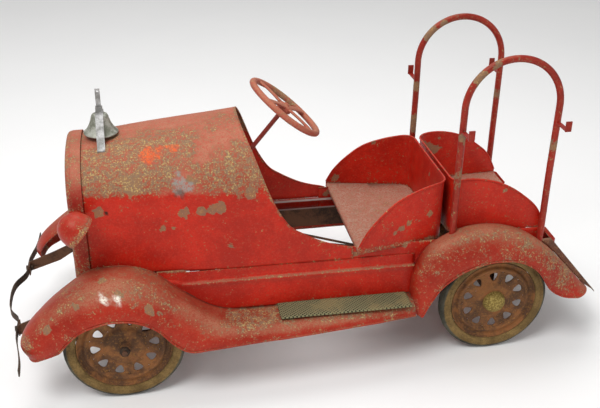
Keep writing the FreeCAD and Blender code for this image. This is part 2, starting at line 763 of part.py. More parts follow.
def axle_hangers():
    """Plates inside the rails that carry the crank axle."""
    plates = []
    for side in ("", "-"):
        y = f"{side}(rail_y - rail_width / 2 - seat_gap - 2)"
        plate = box("30", "4", "rail_bottom + 34 - (wheel_radius - 15)", "0", y, "wheel_radius - 15")
        bore = rod("axle_radius + running_clearance", "8", "0",
                   f"{side}(rail_y - rail_width / 2 - seat_gap - 2) - 4", "wheel_radius", Vector(0, 1, 0))
        plates.append(cut(plate, bore))
    keep(group(plates), "axle_hangers")


# ---------------------------------------------------------------- pedal drive

def crank_axle():
    """A rear axle with two throws, half a turn apart."""
    axle = Vector(0, 1, 0)
    inner = "(crank_pin_y - crank_pin_length / 2)"
    outer = "(crank_pin_y + crank_pin_length / 2)"
    tip = "(rear_wheel_y + hub_front - 6)"
    pieces = [rod("axle_radius", f"2 * ({inner} - 1)", "0", f"-({inner} - 1)", "wheel_radius", axle)]
    for side, sign, swing in ((1, "", "+"), (-1, "-", "-")):
        shaft = f"{tip} - {outer} - 1"
        start = f"{outer} + 1" if side > 0 else f"-{tip}"
        pieces.append(rod("axle_radius", shaft, "0", start, "wheel_radius", axle))
        pin_start = f"{inner} - 1" if side > 0 else f"-({outer} + 1)"
        pieces.append(rod("5", "crank_pin_length + 2", "0", pin_start, f"wheel_radius {swing} crank_throw",
                          axle))
        for place_y in (f"{inner} - crank_web / 2", f"{outer} + crank_web / 2"):
            base = "wheel_radius - 8" if swing == "+" else "wheel_radius - crank_throw - 8"
            pieces.append(box("16", "crank_web", "crank_throw + 16", "0", f"{sign}({place_y})", base))
    keep(fuse(pieces), "crank_axle")


def push_rods():
    """Rods from the crank pins to the pedals."""
    axis = Vector(0, 1, 0)
    for name, side in SIDES:
        swing = D["crank_throw"] * side
        eye = D["rod_eye_width"]
        y = side * D["crank_pin_y"]
        start = Vector(0, y, D["wheel_radius"] + swing)
        end = Vector(D["pedal_shaft_x"], y, D["pedal_shaft_z"] - D["pedal_eye_drop"])
        along = end - start
        shape = Part.makeCylinder(D["rod_radius"], along.Length, start, along)
        for centre in (start, end):
            base = centre - axis * (eye / 2)
            shape = shape.fuse(Part.makeCylinder(D["rod_eye_radius"], eye, base, axis))
        for centre in (start, end):
            base = centre - axis * eye
            bore = 5 + D["running_clearance"]
            shape = shape.cut(Part.makeCylinder(bore, 2 * eye, base, axis))
        feature(f"push_rod_{name}", shape)


def pedals():
    """A hanging arm with a rubber-covered block, beside the eye of each push rod."""
    shaft = Vector(0, 1, 0)
    keep(rod("5", "2 * (body_half_width - 8)", "pedal_shaft_x", "-(body_half_width - 8)", "pedal_shaft_z",
             shaft), "pedal_shaft")
    arm_y = "(crank_pin_y + rod_eye_width / 2 + 0.5 + pedal_arm_width / 2)"
    for name, side in SIDES:
        sign = "" if side > 0 else "-"
        arm = box("14", "pedal_arm_width", "pedal_arm_length", "pedal_shaft_x", f"{sign}{arm_y}",
                  "pedal_shaft_z - pedal_arm_length")
        half = "pedal_arm_width / 2 + 3"
        boss_y = f"{sign}({arm_y} + 3) - ({half})"
        boss = rod("10", f"2 * ({half})", "pedal_shaft_x", boss_y, "pedal_shaft_z", shaft)
        pad = box("34", "pedal_pad_length", "12", "pedal_shaft_x",
                  f"{sign}({arm_y} + pedal_arm_width / 2 + pedal_pad_length / 2 - 0.5)",
                  "pedal_shaft_z - pedal_arm_length")
        bore = rod("5 + running_clearance", "40", "pedal_shaft_x", f"{sign}{arm_y} - 20", "pedal_shaft_z",
                   shaft)
        keep(cut(fuse([arm, boss, pad]), bore), f"pedal_{name}")


# ---------------------------------------------------------------- steering

def front_axle():
    """A beam under the rails with a fork at each end for the kingpin."""
    beam = box("16", "2 * (kingpin_y - 11)", "beam_height", "wheelbase", "0",
               "wheel_radius - beam_height / 2")
    pieces = [beam]
    tools = []
    half = "(knuckle_height / 2)"
    for side in ("", "-"):
        y = f"{side}(kingpin_y - 16.5)"
        pieces.append(box("16", "11", "knuckle_height + 10", "wheelbase", y,
                          f"wheel_radius - {half} - 5"))
        for z in (f"wheel_radius + {half} + seat_gap", f"wheel_radius - {half} - seat_gap - 4.5"):
            pieces.append(box("18", "30", "4.5", "wheelbase", f"{side}(kingpin_y - 6)", z))
        pieces.append(box("22", "rail_width + 8", "rail_bottom - seat_gap - wheel_radius", "wheelbase",
                          f"{side}(rail_y - 6)", "wheel_radius"))
        tools.append(rod("kingpin_radius + running_clearance", "80", "wheelbase", f"{side}kingpin_y",
                         "wheel_radius - 40"))
    keep(cut(fuse(pieces), fuse(tools)), "front_axle_beam")
    pins = []
    for side in ("", "-"):
        y = f"{side}kingpin_y"
        pins.append(fuse([
            rod("kingpin_radius", "knuckle_height + 16", "wheelbase", y, f"wheel_radius - {half} - 8"),
            rod("kingpin_radius + 3.5", "4", "wheelbase", y, f"wheel_radius + {half} + 5.2")]))
    keep(group(pins), "kingpins")


def knuckles():
    """A sleeve on the kingpin with the stub axle and the steering arm."""
    half = "(knuckle_height / 2)"
    arm_z = f"wheel_radius - {half} + 2"
    for name, side in SIDES:
        sign = "" if side > 0 else "-"
        sleeve = rod("knuckle_radius", "knuckle_height", "wheelbase", f"{sign}kingpin_y",
                     f"wheel_radius - {half}")
        reach = "front_wheel_y + hub_front + 13 - kingpin_y"
        start = "kingpin_y" if side > 0 else f"-kingpin_y - ({reach})"
        stub = rod("axle_radius", reach, "wheelbase", start, "wheel_radius", Vector(0, 1, 0))
        arm = box("steering_arm + 7", "12", "5", "wheelbase - steering_arm / 2 - 3.5", f"{sign}kingpin_y",
                  arm_z)
        pin = rod("4", "5 + seat_gap + tie_rod_thickness + 2", "wheelbase - steering_arm", f"{sign}kingpin_y",
                  arm_z)
        bore = rod("kingpin_radius + running_clearance", "knuckle_height + 20", "wheelbase",
                   f"{sign}kingpin_y", f"wheel_radius - {half} - 10")
        keep(cut(fuse([sleeve, stub, arm, pin]), bore), f"knuckle_{name}")
        flats = doc.addObject("Part::Prism", "hexagon")
        flats.Polygon = 6
        flats.setExpression("Circumradius", bound("hub_nut_radius"))
        flats.setExpression("Height", bound("hub_nut_height"))
        turned = Rotation(Vector(0, 0, 1), Vector(0, side, 0))
        place(flats, "wheelbase", f"{sign}(front_wheel_y + hub_front + seat_gap)", "wheel_radius", turned)
        hole = rod("axle_radius + running_clearance", "60", "wheelbase",
                   f"{sign}(front_wheel_y + hub_front) - 30", "wheel_radius", Vector(0, 1, 0))
        keep(cut(flats, hole), f"hub_nut_{name}")


def column_direction():
    """The unit vector down the steering column, and the pitman arm's length."""
    run = Vector(D["column_foot_x"] - D["column_top_x"], 0, D["column_foot_z"] - D["column_top_z"])
    run.normalize()
    tie_z = (D["wheel_radius"] - D["knuckle_height"] / 2 + 7 + D["seat_gap"]
             + D["tie_rod_thickness"] / 2)
    tie_x = D["wheelbase"] - D["steering_arm"]
    cross_x = D["column_foot_x"] + run.x / run.z * (tie_z - D["column_foot_z"])
    return run, (cross_x - tie_x) * abs(run.z), tie_x, tie_z


def tie_rod():
    """A flat bar between the steering arms, with a slot that the pitman pin drives."""
    half = D["kingpin_y"]
    x = D["wheelbase"] - D["steering_arm"]
    thick = D["tie_rod_thickness"]
    z = D["wheel_radius"] - D["knuckle_height"] / 2 + 7 + D["seat_gap"]
    width = D["tie_rod_width"]
    bar = Part.makeBox(width, 2 * half, thick, Vector(x - width / 2, -half, z))
    for side in (-1, 1):
        bar = bar.fuse(Part.makeCylinder(width / 2 + 1, thick, Vector(x, side * half, z)))
    bar = bar.fuse(Part.makeBox(40, 26, thick, Vector(x - 20, -13, z)))
    slot = Part.makeBox(27, 8.2, thick + 2, Vector(x - 13, -4.1, z - 1))
    bar = bar.removeSplitter().cut(slot)
    bar = bar.cut(Part.makeCylinder(4 + D["running_clearance"], 20, Vector(x, half, z - 10)))
    bar = bar.cut(Part.makeCylinder(4.3, 20, Vector(x, -half, z - 10)))
    feature("tie_rod", bar)


def steering_column():
    """The column, with its pitman arm and the pin that enters the tie rod."""
    run, pitman, tie_x, tie_z = column_direction()
    top = Vector(D["column_top_x"], 0, D["column_top_z"]) - run * 6
    foot = Vector(D["column_foot_x"], 0, D["column_foot_z"])
    shaft = Part.makeCylinder(D["column_radius"], (foot - top).Length + 3, top, run)
    back = Vector(run.z, 0, -run.x)
    arm = Part.makeBox(pitman + 13, 12, 5, Vector(-6, -6, -2.5))
    arm.Placement = Placement(foot, Rotation(back, Vector(0, 1, 0), run, "XZY"))
    pin_start = foot + back * pitman
    length = (pin_start.z - (tie_z - 7)) / abs(run.z)
    pin = Part.makeCylinder(3.5, length, pin_start, run)
    feature("steering_column", shaft.fuse(arm).fuse(pin).removeSplitter())


def column_supports():
    """A strap across the cowl and a bar between the rails, both bored for the column."""
    run = column_direction()[0]
    top = Vector(D["column_top_x"], 0, D["column_top_z"])
    bore = Part.makeCylinder(D["column_radius"] + D["running_clearance"], 600, top, run)
    x = 600
    z = top.z + run.z / run.x * (x - top.x)
    half = body_half(x + 13) - D["sheet"] - D["seat_gap"]
    strap = Part.makeBox(26, 2 * half, 3, Vector(x - 13, -half, z - 1.5))
    boss = Part.makeCylinder(10, 18, Vector(x, 0, z) - run * 9, run)
    strap = strap.fuse(boss)
    for side in (-1, 1):
        y = side * half - (3 if side > 0 else 0)
        strap = strap.fuse(Part.makeBox(26, 3, 22, Vector(x - 13, y, z - 1.5)))
    feature("column_strap", strap.removeSplitter().cut(bore))
    z = D["rail_bottom"] + 4
    x = top.x + run.x / run.z * (z - top.z)
    half = D["rail_y"] - D["rail_width"] / 2 - D["seat_gap"]
    bar = Part.makeBox(44, 2 * half, 8, Vector(x - 22, -half, z - 4))
    feature("steering_cross_bar", bar.cut(bore))


def steering_wheel():
    """A round rim on four flat spokes and a hub, square to the column."""
    run = column_direction()[0]
    centre = Vector(D["column_top_x"], 0, D["column_top_z"]) - run * 2
    rim = Part.makeTorus(D["steering_rim_radius"], D["steering_rim_section"])
    hub = Part.makeCylinder(17, 16, Vector(0, 0, -8))
    wheel = rim.fuse(hub)
    for quarter in range(4):
        spoke = Part.makeBox(D["steering_rim_radius"] - 8, 16, 4, Vector(8, -8, -2))
        spoke.rotate(Vector(), Vector(0, 0, 1), 90 * quarter + 45)
        wheel = wheel.fuse(spoke)
    wheel.Placement = Placement(centre, Rotation(Vector(0, 0, 1), run))
    shaft = Part.makeCylinder(D["column_radius"] + 0.02, 60, centre - run * 4, run)
    feature("steering_wheel", wheel.removeSplitter().cut(shaft))


# ---------------------------------------------------------------- bell and lamps

def bell_parts():
    """A bell under a bent strap, and a rocking lever that carries the striker."""
    x = D["bell_x"]
    mouth = D["bell_mouth_z"]
    crown = mouth + D["bell_height"]
    r = D["bell_mouth_radius"]
    outer = [Vector(r, 0, mouth), Vector(r * 0.9, 0, mouth + 5), Vector(r * 0.7, 0, mouth + 15),
             Vector(r * 0.56, 0, mouth + 28), Vector(r * 0.46, 0, crown - 5), Vector(r * 0.36, 0, crown)]
    inner = [Vector(p.x - 1.8, 0, p.z - 1.4) for p in outer]
    inner[0] = Vector(r - 1.8, 0, mouth)
    axis_top = Vector(0, 0, crown)
    axis_low = Vector(0, 0, crown - 1.4)
    edges = [spline(outer), Part.LineSegment(outer[-1], axis_top).toShape(),
             Part.LineSegment(axis_top, axis_low).toShape(), Part.LineSegment(axis_low, inner[-1]).toShape(),
             spline(inner[::-1]), Part.LineSegment(inner[0], outer[0]).toShape()]
    bell = Part.Face(Part.Wire(edges)).revolve(Vector(), Vector(0, 0, 1), 360)
    bell.translate(Vector(x, 0, 0))
    slot = Part.makeBox(20, 6, 20, Vector(x - 10, -3, crown - 12))
    feature("bell", bell.cut(slot))

    strap_z = crown + D["seat_gap"]
    half = D["bell_strap_width"] / 2
    foot_y = r + 17
    foot_z = hood_height(x - half, foot_y) + 0.6
    toe_z = hood_height(x - half, foot_y + 14) + 0.6
    outline = [(17, strap_z), (foot_y - 1, foot_z), (foot_y + 14, toe_z), (foot_y + 14, toe_z + 2.5),
               (foot_y + 1, foot_z + 2.5), (18.5, strap_z + 2.5)]
    outline = outline + [(-y, z) for y, z in outline[::-1]]
    wire = Part.makePolygon([Vector(x - half, y, z) for y, z in outline + outline[:1]])
    strap = Part.Face(wire).extrude(Vector(2 * half, 0, 0))
    strap = strap.cut(slot)
    pivot = strap_z + 9.5
    for side in (-1, 1):
        ear = Part.makeBox(14, 2.5, 13, Vector(x - 7, side * 4.6 - 1.25, strap_z + 1.5))
        ear = ear.cut(Part.makeCylinder(2 + D["running_clearance"], 20, Vector(x, -10, pivot),
                                        Vector(0, 1, 0)))
        strap = strap.fuse(ear)
    feature("bell_bracket", strap.removeSplitter())

    lever = Part.makeBox(10, 3, D["lever_height"] - 2, Vector(x - 5, -1.5, pivot - 2.5))
    lever = lever.cut(Part.makeCylinder(2.4, 10, Vector(x, -5, pivot + D["lever_height"] - 10),
                                        Vector(0, 1, 0)))
    lever = lever.fuse(Part.makeCylinder(2, 13, Vector(x, -6.5, pivot), Vector(0, 1, 0)))
    ball = Vector(x, 0, mouth + 9)
    lever = lever.fuse(Part.makeCylinder(1.5, pivot - ball.z, ball))
    lever = lever.fuse(Part.makeSphere(5, ball))
    feature("bell_lever", lever.removeSplitter())


def lamp(name, side, pitch):
    """A bullet-shaped lamp shell, open at the back, on a short stem."""
    r = D["lamp_radius"]
    profile = [Vector(r, 0, -14), Vector(r, 0, -6), Vector(r * 0.93, 0, 8), Vector(r * 0.7, 0, 22),
               Vector(r * 0.38, 0, 31), Vector(0, 0, 34)]
    inner = [Vector(max(p.x - 1.5, 0), 0, p.z - (0.6 if p.x > r * 0.8 else 1.6)) for p in profile]
    inner[0] = Vector(r - 1.5, 0, -14)
    edges = [spline(profile), Part.LineSegment(profile[-1], inner[-1]).toShape(), spline(inner[::-1]),
             Part.LineSegment(inner[0], profile[0]).toShape()]
    shell = Part.Face(Part.Wire(edges)).revolve(Vector(), Vector(0, 0, 1), 360)
    tilt = Rotation(Vector(0, 1, 0), 90 - pitch)
    boss = Part.makeCylinder(6, 5, Vector(0, -side * (r + 2.5), 0), Vector(0, side, 0))
    shell = shell.fuse(boss).removeSplitter()
    shell.Placement = Placement(Vector(D["lamp_x"], side * D["lamp_y"], D["lamp_z"]), tilt)
    feature(f"lamp_{name}", shell)


def lamps():
    lamp("left", 1, 42)
    lamp("right", -1, 78)
    arms = []
    front = D["wheelbase"] + D["hood_front_gap"]
    wall = body_half(front) + 3 + D["seat_gap"]
    end = D["lamp_y"] - D["lamp_radius"] - 2.5 - D["seat_gap"]
    for side in (1, -1):
        arm = Part.makeCylinder(5, end - wall, Vector(D["lamp_x"], side * wall, D["lamp_z"]),
                                Vector(0, side, 0))
        plate = Part.makeBox(24, 2.5, 34, Vector(D["lamp_x"] - 12, side * (wall + 1.25) - 1.25,
                                                 D["lamp_z"] - 17))
        arms.append(arm.fuse(plate))
    feature("lamp_brackets", Part.makeCompound(arms))


wheels()
hood()
radiator()
side_panels()
for side_name, side_sign in SIDES:
    sill_body(side_name, side_sign)
    tread_mat(side_name, side_sign)
front_fenders()
rear_fenders()
tail_plate()
seats()
hoops()
hose_hooks()
bumper()
frame_rails()
cross_members()
axle_hangers()
crank_axle()
push_rods()
pedals()
front_axle()
knuckles()
tie_rod()
steering_column()
column_supports()
steering_wheel()
bell_parts()
lamps()
doc.recompute()

for item in doc.Objects:
    if "Invalid" in item.State or "Error" in item.State:
        raise RuntimeError(f"{item.Name} failed: {item.State}")
for item in sub_parts:
    if item.Shape.isNull() or not item.Shape.isValid():
        raise RuntimeError(f"{item.Label} has no valid shape")

os.makedirs("parts", exist_ok=True)
for item in sub_parts:
    item.Shape.exportStep(f"parts/{item.Label}.step")
print(len(sub_parts), "sub-parts written")
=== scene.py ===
import json
import math

import bpy
from mathutils import Euler, Matrix, Vector, noise


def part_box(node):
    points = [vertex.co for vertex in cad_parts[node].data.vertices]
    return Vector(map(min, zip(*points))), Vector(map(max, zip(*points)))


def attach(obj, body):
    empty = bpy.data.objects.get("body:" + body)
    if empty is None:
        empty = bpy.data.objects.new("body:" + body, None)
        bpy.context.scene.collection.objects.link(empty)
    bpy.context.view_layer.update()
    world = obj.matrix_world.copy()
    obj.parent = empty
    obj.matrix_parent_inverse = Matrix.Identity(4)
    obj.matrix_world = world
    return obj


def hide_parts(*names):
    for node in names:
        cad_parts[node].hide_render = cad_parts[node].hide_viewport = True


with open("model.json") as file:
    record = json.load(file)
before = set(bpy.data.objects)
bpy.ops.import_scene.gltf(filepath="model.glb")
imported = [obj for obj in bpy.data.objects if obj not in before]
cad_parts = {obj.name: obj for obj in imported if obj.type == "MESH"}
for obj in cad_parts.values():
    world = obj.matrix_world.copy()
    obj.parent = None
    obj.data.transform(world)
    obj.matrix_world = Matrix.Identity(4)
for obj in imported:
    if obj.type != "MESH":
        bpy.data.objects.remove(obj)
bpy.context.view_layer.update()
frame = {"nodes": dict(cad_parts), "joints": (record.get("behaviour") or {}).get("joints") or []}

MM = 0.001
SIDES = (("left", 1), ("right", -1))


def middle(node):
    low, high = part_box(node)
    return (low + high) / 2


def span(node):
    low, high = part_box(node)
    return high - low


WHEEL_RADIUS = span("front_tyre_left").z / 2
FRONT_AXLE = middle("front_tyre_left").x
REAR_AXLE = middle("rear_tyre_left").x
BODY_HALF = span("hood").y / 2
HOOD_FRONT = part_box("hood")[1].x
HOOD_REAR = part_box("hood")[0].x
HOOD_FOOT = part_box("hood")[0].z
SHEET = 1.3 * MM
HEAVY_SHEET = 1.4 * MM
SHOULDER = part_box("front_seat_back")[1].z - 2 * MM


# ---------------------------------------------------------------- camera, light and floor

def set_camera():
    data = bpy.data.cameras.new("camera")
    data.sensor_width = 36
    data.lens = 52.68
    camera = bpy.data.objects.new("camera", data)
    turn = Euler((math.radians(90 - 27.07), 0, math.radians(-100.57 - 90))).to_matrix()
    turn = turn @ Matrix.Rotation(math.radians(0.69), 3, "Z")
    camera.matrix_world = Matrix.Translation((REAR_AXLE + 0.7445, 1.7479, 1.2287)) @ turn.to_4x4()
    bpy.context.scene.collection.objects.link(camera)
    bpy.context.scene.camera = camera


def soft_light(name, place, size, power, aim=(0, 0, 0.2)):
    data = bpy.data.lights.new(name, "AREA")
    data.shape = "DISK"
    data.size = size
    data.energy = power
    light = bpy.data.objects.new(name, data)
    light.location = place
    light.rotation_euler = (Vector(aim) - Vector(place)).to_track_quat("-Z", "Y").to_euler()
    bpy.context.scene.collection.objects.link(light)


def set_studio():
    world = bpy.data.worlds.new("studio")
    world.use_nodes = True
    world.node_tree.nodes["Background"].inputs["Color"].default_value = (1, 1, 1, 1)
    world.node_tree.nodes["Background"].inputs["Strength"].default_value = 0.50
    bpy.context.scene.world = world
    bpy.context.scene.view_settings.view_transform = "Standard"
    soft_light("key", (1.3, 1.5, 3.1), 1.6, 66)
    soft_light("fill", (-2.4, 1.8, 1.6), 2.2, 10)
    soft_light("top", (0.1, -0.9, 3.0), 2.4, 34)
    bpy.ops.mesh.primitive_plane_add(size=14)
    floor = bpy.context.object
    floor.name = "floor"
    paper = Finish("floor_paper")
    tone = paper.mix(paper.grain(400, 2), (0.93, 0.93, 0.93), (0.96, 0.96, 0.955))
    floor.data.materials.append(paper.coat(tone, 0.85))


# ---------------------------------------------------------------- finishes

class Field:
    """A number that varies over a surface, used in plain sums."""

    def __init__(self, finish, socket):
        self.finish = finish
        self.socket = socket

    def sum_with(self, operation, first, second):
        node = self.finish.node("ShaderNodeMath", {"operation": operation}, {0: first, 1: second})
        return Field(self.finish, node.outputs[0])

    def __add__(self, other):
        return self.sum_with("ADD", self, other)

    __radd__ = __add__

    def __sub__(self, other):
        return self.sum_with("SUBTRACT", self, other)

    def __rsub__(self, other):
        return self.sum_with("SUBTRACT", other, self)

    def __mul__(self, other):
        return self.sum_with("MULTIPLY", self, other)

    __rmul__ = __mul__

    def most(self, other):
        return self.sum_with("MAXIMUM", self, other)

    def size(self):
        return self.sum_with("ABSOLUTE", self, 0)

    def wave(self):
        return self.sum_with("SINE", self, 0)

    def above(self, low, high):
        """0 below low and 1 above high, with a soft step between."""
        node = self.finish.node("ShaderNodeMapRange", {"interpolation_type": "SMOOTHSTEP"},
                                {"Value": self, "From Min": low, "From Max": high})
        return Field(self.finish, node.outputs[0])


class Finish:
    """One finish: its nodes, and the patterns that it is made of."""

    def __init__(self, name):
        self.material = bpy.data.materials.new(name)
        self.material.use_nodes = True
        self.tree = self.material.node_tree
        self.tree.nodes.clear()
        spot = self.node("ShaderNodeTexCoord")
        self.place = spot.outputs["Object"]
        self.facing = spot.outputs["Normal"]

    def node(self, kind, settings=None, sockets=None):
        made = self.tree.nodes.new(kind)
        for key, value in (settings or {}).items():
            setattr(made, key, value)
        for key, value in (sockets or {}).items():
            value = getattr(value, "socket", value)
            if isinstance(value, bpy.types.NodeSocket):
                self.tree.links.new(value, made.inputs[key])
            else:
                made.inputs[key].default_value = value
        return made

    def grain(self, size, detail=3, rough=0.55, stretch=(1, 1, 1)):
        """Cloudy noise with blotches about size millimetres across."""
        place = self.place
        if stretch != (1, 1, 1):
            place = self.node("ShaderNodeVectorMath", {"operation": "MULTIPLY"},
                              {0: self.place, 1: stretch}).outputs[0]
        node = self.node("ShaderNodeTexNoise", {},
                         {"Vector": place, "Scale": 1000 / size, "Detail": detail, "Roughness": rough})
        return Field(self, node.outputs[0])

    def mark(self, name):
        """A value painted on the piece's own mesh."""
        return Field(self, self.node("ShaderNodeAttribute", {"attribute_name": name}).outputs["Fac"])

    def along(self, axis, vector=None):
        node = self.node("ShaderNodeSeparateXYZ", {}, {0: vector or self.place})
        return Field(self, node.outputs[axis])

    def facing_up(self):
        return self.along(2, self.facing)

    def mix(self, share, first, second):
        """A colour between two: first where share is 0, second where it is 1."""
        colours = [tuple(c) + (1,) if isinstance(c, (tuple, list)) else c for c in (first, second)]
        node = self.node("ShaderNodeMix", {"data_type": "RGBA"}, {0: share, 6: colours[0], 7: colours[1]})
        return node.outputs[2]

    def coat(self, colour, roughness, height=None, depth=0.4, metallic=0, shine=0.35):
        """Finishes the material. The height field's full rise stands for depth millimetres."""
        sockets = {"Base Color": colour, "Roughness": roughness, "Metallic": metallic,
                   "Specular IOR Level": shine, "Specular Tint": (1.0, 0.80, 0.62, 1.0)}
        if height is not None:
            bump = self.node("ShaderNodeBump", {}, {"Strength": 1, "Distance": depth * MM, "Height": height})
            sockets["Normal"] = bump.outputs[0]
        shader = self.node("ShaderNodeBsdfPrincipled", {}, sockets)
        self.node("ShaderNodeOutputMaterial", {}, {"Surface": shader.outputs[0]})
        return self.material


RED_DEEP = (0.37, 0.007, 0.003)
RED_BRIGHT = (0.56, 0.014, 0.005)
RED_BLEACHED = (0.40, 0.085, 0.052)
DUST = (0.42, 0.22, 0.13)
KHAKI = (0.26, 0.165, 0.078)
STRAW = (0.64, 0.48, 0.17)
RUST = (0.12, 0.036, 0.015)
RUST_RED = (0.22, 0.05, 0.02)


def worn_enamel(name, deep=RED_DEEP, bright=RED_BRIGHT, bleached=RED_BLEACHED, fade=0.0, wear=0.0,
                gloss=0.42, speckle=0.0):
    """Old enamel: bleached on top, rubbed through to khaki undercoat with straw flecks, pitted with rust;
    marks painted on some pieces add painted highlight and painted shade.
    """
    paint = Finish(name)
    broad = paint.grain(120, 3)
    patch = paint.grain(24, 5, 0.62)
    fine = paint.grain(7.0, 5, 0.7)
    speck = paint.grain(3.6, 3, 0.75)
    worn = paint.mark("worn") + wear
    top = (paint.facing_up() - 0.25).above(0, 0.6)
    # Bleached share: upward faces, broad blotches and the painted fade mark; on the fenders, sills and hoops
    # that mark also holds painted highlight and painted shade.
    bleach_and_painted_light = (top * 0.30 + broad * 0.45 + patch * 0.35 + paint.mark("fade_and_painted_light") * 0.62 + fade).above(0.56, 1.05)
    density = worn * 0.17 + (patch - 0.5) * 0.34
    rubbed = fine * 0.5 + speck * 0.5 + density
    chipped = (paint.mark("scar") * 1.1 + (patch - 0.5) * 1.1 + (fine - 0.5) * 0.9).above(0.50, 0.62)
    bare = rubbed.above(0.615, 0.68).most(chipped)
    near_bare = rubbed.above(0.54, 0.63) * (1 - bare)
    pits = (speck * 0.5 + fine * 0.5 + worn * 0.04).above(0.60, 0.67)
    straw = (speck * 0.8 + patch * 0.2 + worn * 0.05).above(0.60, 0.65) * (bare * 0.8 + near_bare * 0.35)
    red = paint.mix((broad * 0.45 + patch * 0.35 + speck * 0.2).above(0.38, 0.62), deep, bright)
    red = paint.mix((speck * 0.6 + fine * 0.4).above(0.47, 0.33) * 0.45, red, RUST)
    red = paint.mix(bleach_and_painted_light * 0.9, red, bleached)
    dust = (speck * 0.6 + fine * 0.4 + bleach_and_painted_light * 0.08).above(0.50, 0.62) * (0.10 + bleach_and_painted_light * 0.5)
    red = paint.mix(dust, red, DUST)
    red = paint.mix((speck * 0.6 + fine * 0.4).above(0.46, 0.58) * speckle, red, (0.40, 0.33, 0.27))
    red = paint.mix(near_bare * 0.5, red, RUST_RED)
    red = paint.mix(pits * 0.7, red, RUST)
    undercoat = paint.mix(fine.above(0.38, 0.62), KHAKI, (0.19, 0.14, 0.09))
    undercoat = paint.mix(straw * 0.85, undercoat, STRAW)
    colour = paint.mix(bare * 0.80, red, undercoat)
    broken = (fine * 0.6 + speck * 0.4).above(0.44, 0.56)
    orange = (paint.mark("orange") + patch - 0.75).above(0, 0.5) * (0.15 + broken * 0.7)
    colour = paint.mix(orange, colour, (0.72, 0.10, 0.025))
    colour = paint.mix(paint.mark("silver") * (0.25 + broken * 0.6), colour, (0.27, 0.28, 0.26))
    colour = paint.mix(paint.mark("white") * (0.3 + broken * 0.7), colour, (0.80, 0.76, 0.66))
    # Near-black spots where small holes are: painted shade standing for the dark seen through them, as the
    # holes are not cut.
    colour = paint.mix(paint.mark("hole"), colour, (0.006, 0.004, 0.004))
    # Pale grey on the side panels' folded-in ledges: dust, and a painted highlight on their upturned faces.
    colour = paint.mix(paint.mark("ledge_dust_and_highlight") * (0.6 + fine * 0.6), colour, (0.33, 0.30, 0.28))
    # Dark mark: grime in places, and a painted shadow just below the sill step.
    colour = paint.mix(paint.mark("grime_and_painted_shade") * 0.75, colour, (0.07, 0.03, 0.02))
    roughness = gloss + bleach_and_painted_light * 0.24 + bare * 0.30 + speck * 0.14 - 0.07
    height = 0.5 * fine + 0.35 * speck - bare * 0.5 - pits * 0.45 + broad * 1.2
    return paint.coat(colour, roughness, height, 0.35)


def rusted_disc():
    """Pressed steel wheel: ochre rust with dark scale and traces of old paint."""
    steel = Finish("rusted_disc")
    broad = steel.grain(38, 4, 0.6)
    fine = steel.grain(5, 5, 0.65)
    speck = steel.grain(1.4, 2)
    colour = steel.mix(broad.above(0.38, 0.62), (0.085, 0.04, 0.022), (0.25, 0.10, 0.035))
    colour = steel.mix(fine.above(0.5, 0.7) * 0.7, colour, (0.34, 0.16, 0.04))
    colour = steel.mix(speck.above(0.58, 0.7) * 0.6, colour, (0.035, 0.022, 0.018))
    colour = steel.mix((broad * 0.5 + fine * 0.5).above(0.58, 0.66) * 0.35, colour, (0.34, 0.07, 0.04))
    return steel.coat(colour, fine * 0.25 + 0.62, fine * 0.7 + speck * 0.5, 0.5)


def old_rubber(name, dark, brown):
    """Perished rubber: dusty sidewalls, a darker tread and fine cracks."""
    rubber = Finish(name)
    broad = rubber.grain(45, 4, 0.6)
    fine = rubber.grain(4, 5, 0.7)
    speck = rubber.grain(1.2, 2)
    cracks = rubber.grain(9, 3, 0.5, (1, 3, 1))
    split = 1 - (cracks - 0.5).size().above(0.0, 0.018)
    side = rubber.mark("sidewall")
    tread = rubber.mix(broad.above(0.35, 0.65), dark, (0.10, 0.10, 0.075))
    wall = rubber.mix((broad * 0.6 + fine * 0.4).above(0.4, 0.62), brown, (0.27, 0.17, 0.06))
    wall = rubber.mix(speck.above(0.55, 0.68) * 0.55, wall, (0.06, 0.05, 0.035))
    colour = rubber.mix((side * 1.1 + fine * 0.5 - 0.25).above(0.2, 0.8), tread, wall)
    colour = rubber.mix(split * 0.6, colour, (0.02, 0.018, 0.014))
    return rubber.coat(colour, 0.74 + fine * 0.2, fine * 0.6 + speck * 0.35 - split * 0.7, 0.5)


def crosshatch_rubber():
    """The step mat: diamond ribs, worn pale on their tops."""
    rubber = Finish("step_mat_rubber")
    fine = rubber.grain(4, 4, 0.6)
    broad = rubber.grain(60, 3)
    pitch = 2 * math.pi / 0.0085
    across = rubber.along(0) * pitch
    over = rubber.along(1) * pitch * 1.25
    ribs = ((across + over).wave().most((across - over).wave()) * 0.5 + 0.5)
    tops = (ribs + fine * 0.3).above(0.80, 0.95)
    colour = rubber.mix(tops, (0.014, 0.016, 0.012), (0.22, 0.21, 0.11))
    colour = rubber.mix((broad + fine * 0.4).above(0.66, 0.82) * 0.5, colour, (0.26, 0.20, 0.09))
    return rubber.coat(colour, 0.8 + fine * 0.1, ribs + fine * 0.25, 0.9)


def dull_brass():
    brass = Finish("dull_brass")
    fine = brass.grain(4, 4, 0.65)
    speck = brass.grain(1.2, 2)
    colour = brass.mix(fine.above(0.4, 0.62), (0.20, 0.135, 0.035), (0.42, 0.32, 0.10))
    colour = brass.mix(speck.above(0.58, 0.68) * 0.8, colour, (0.07, 0.045, 0.02))
    return brass.coat(colour, 0.5 + fine * 0.2, fine * 0.6 + speck * 0.4, 0.5, metallic=0.55)


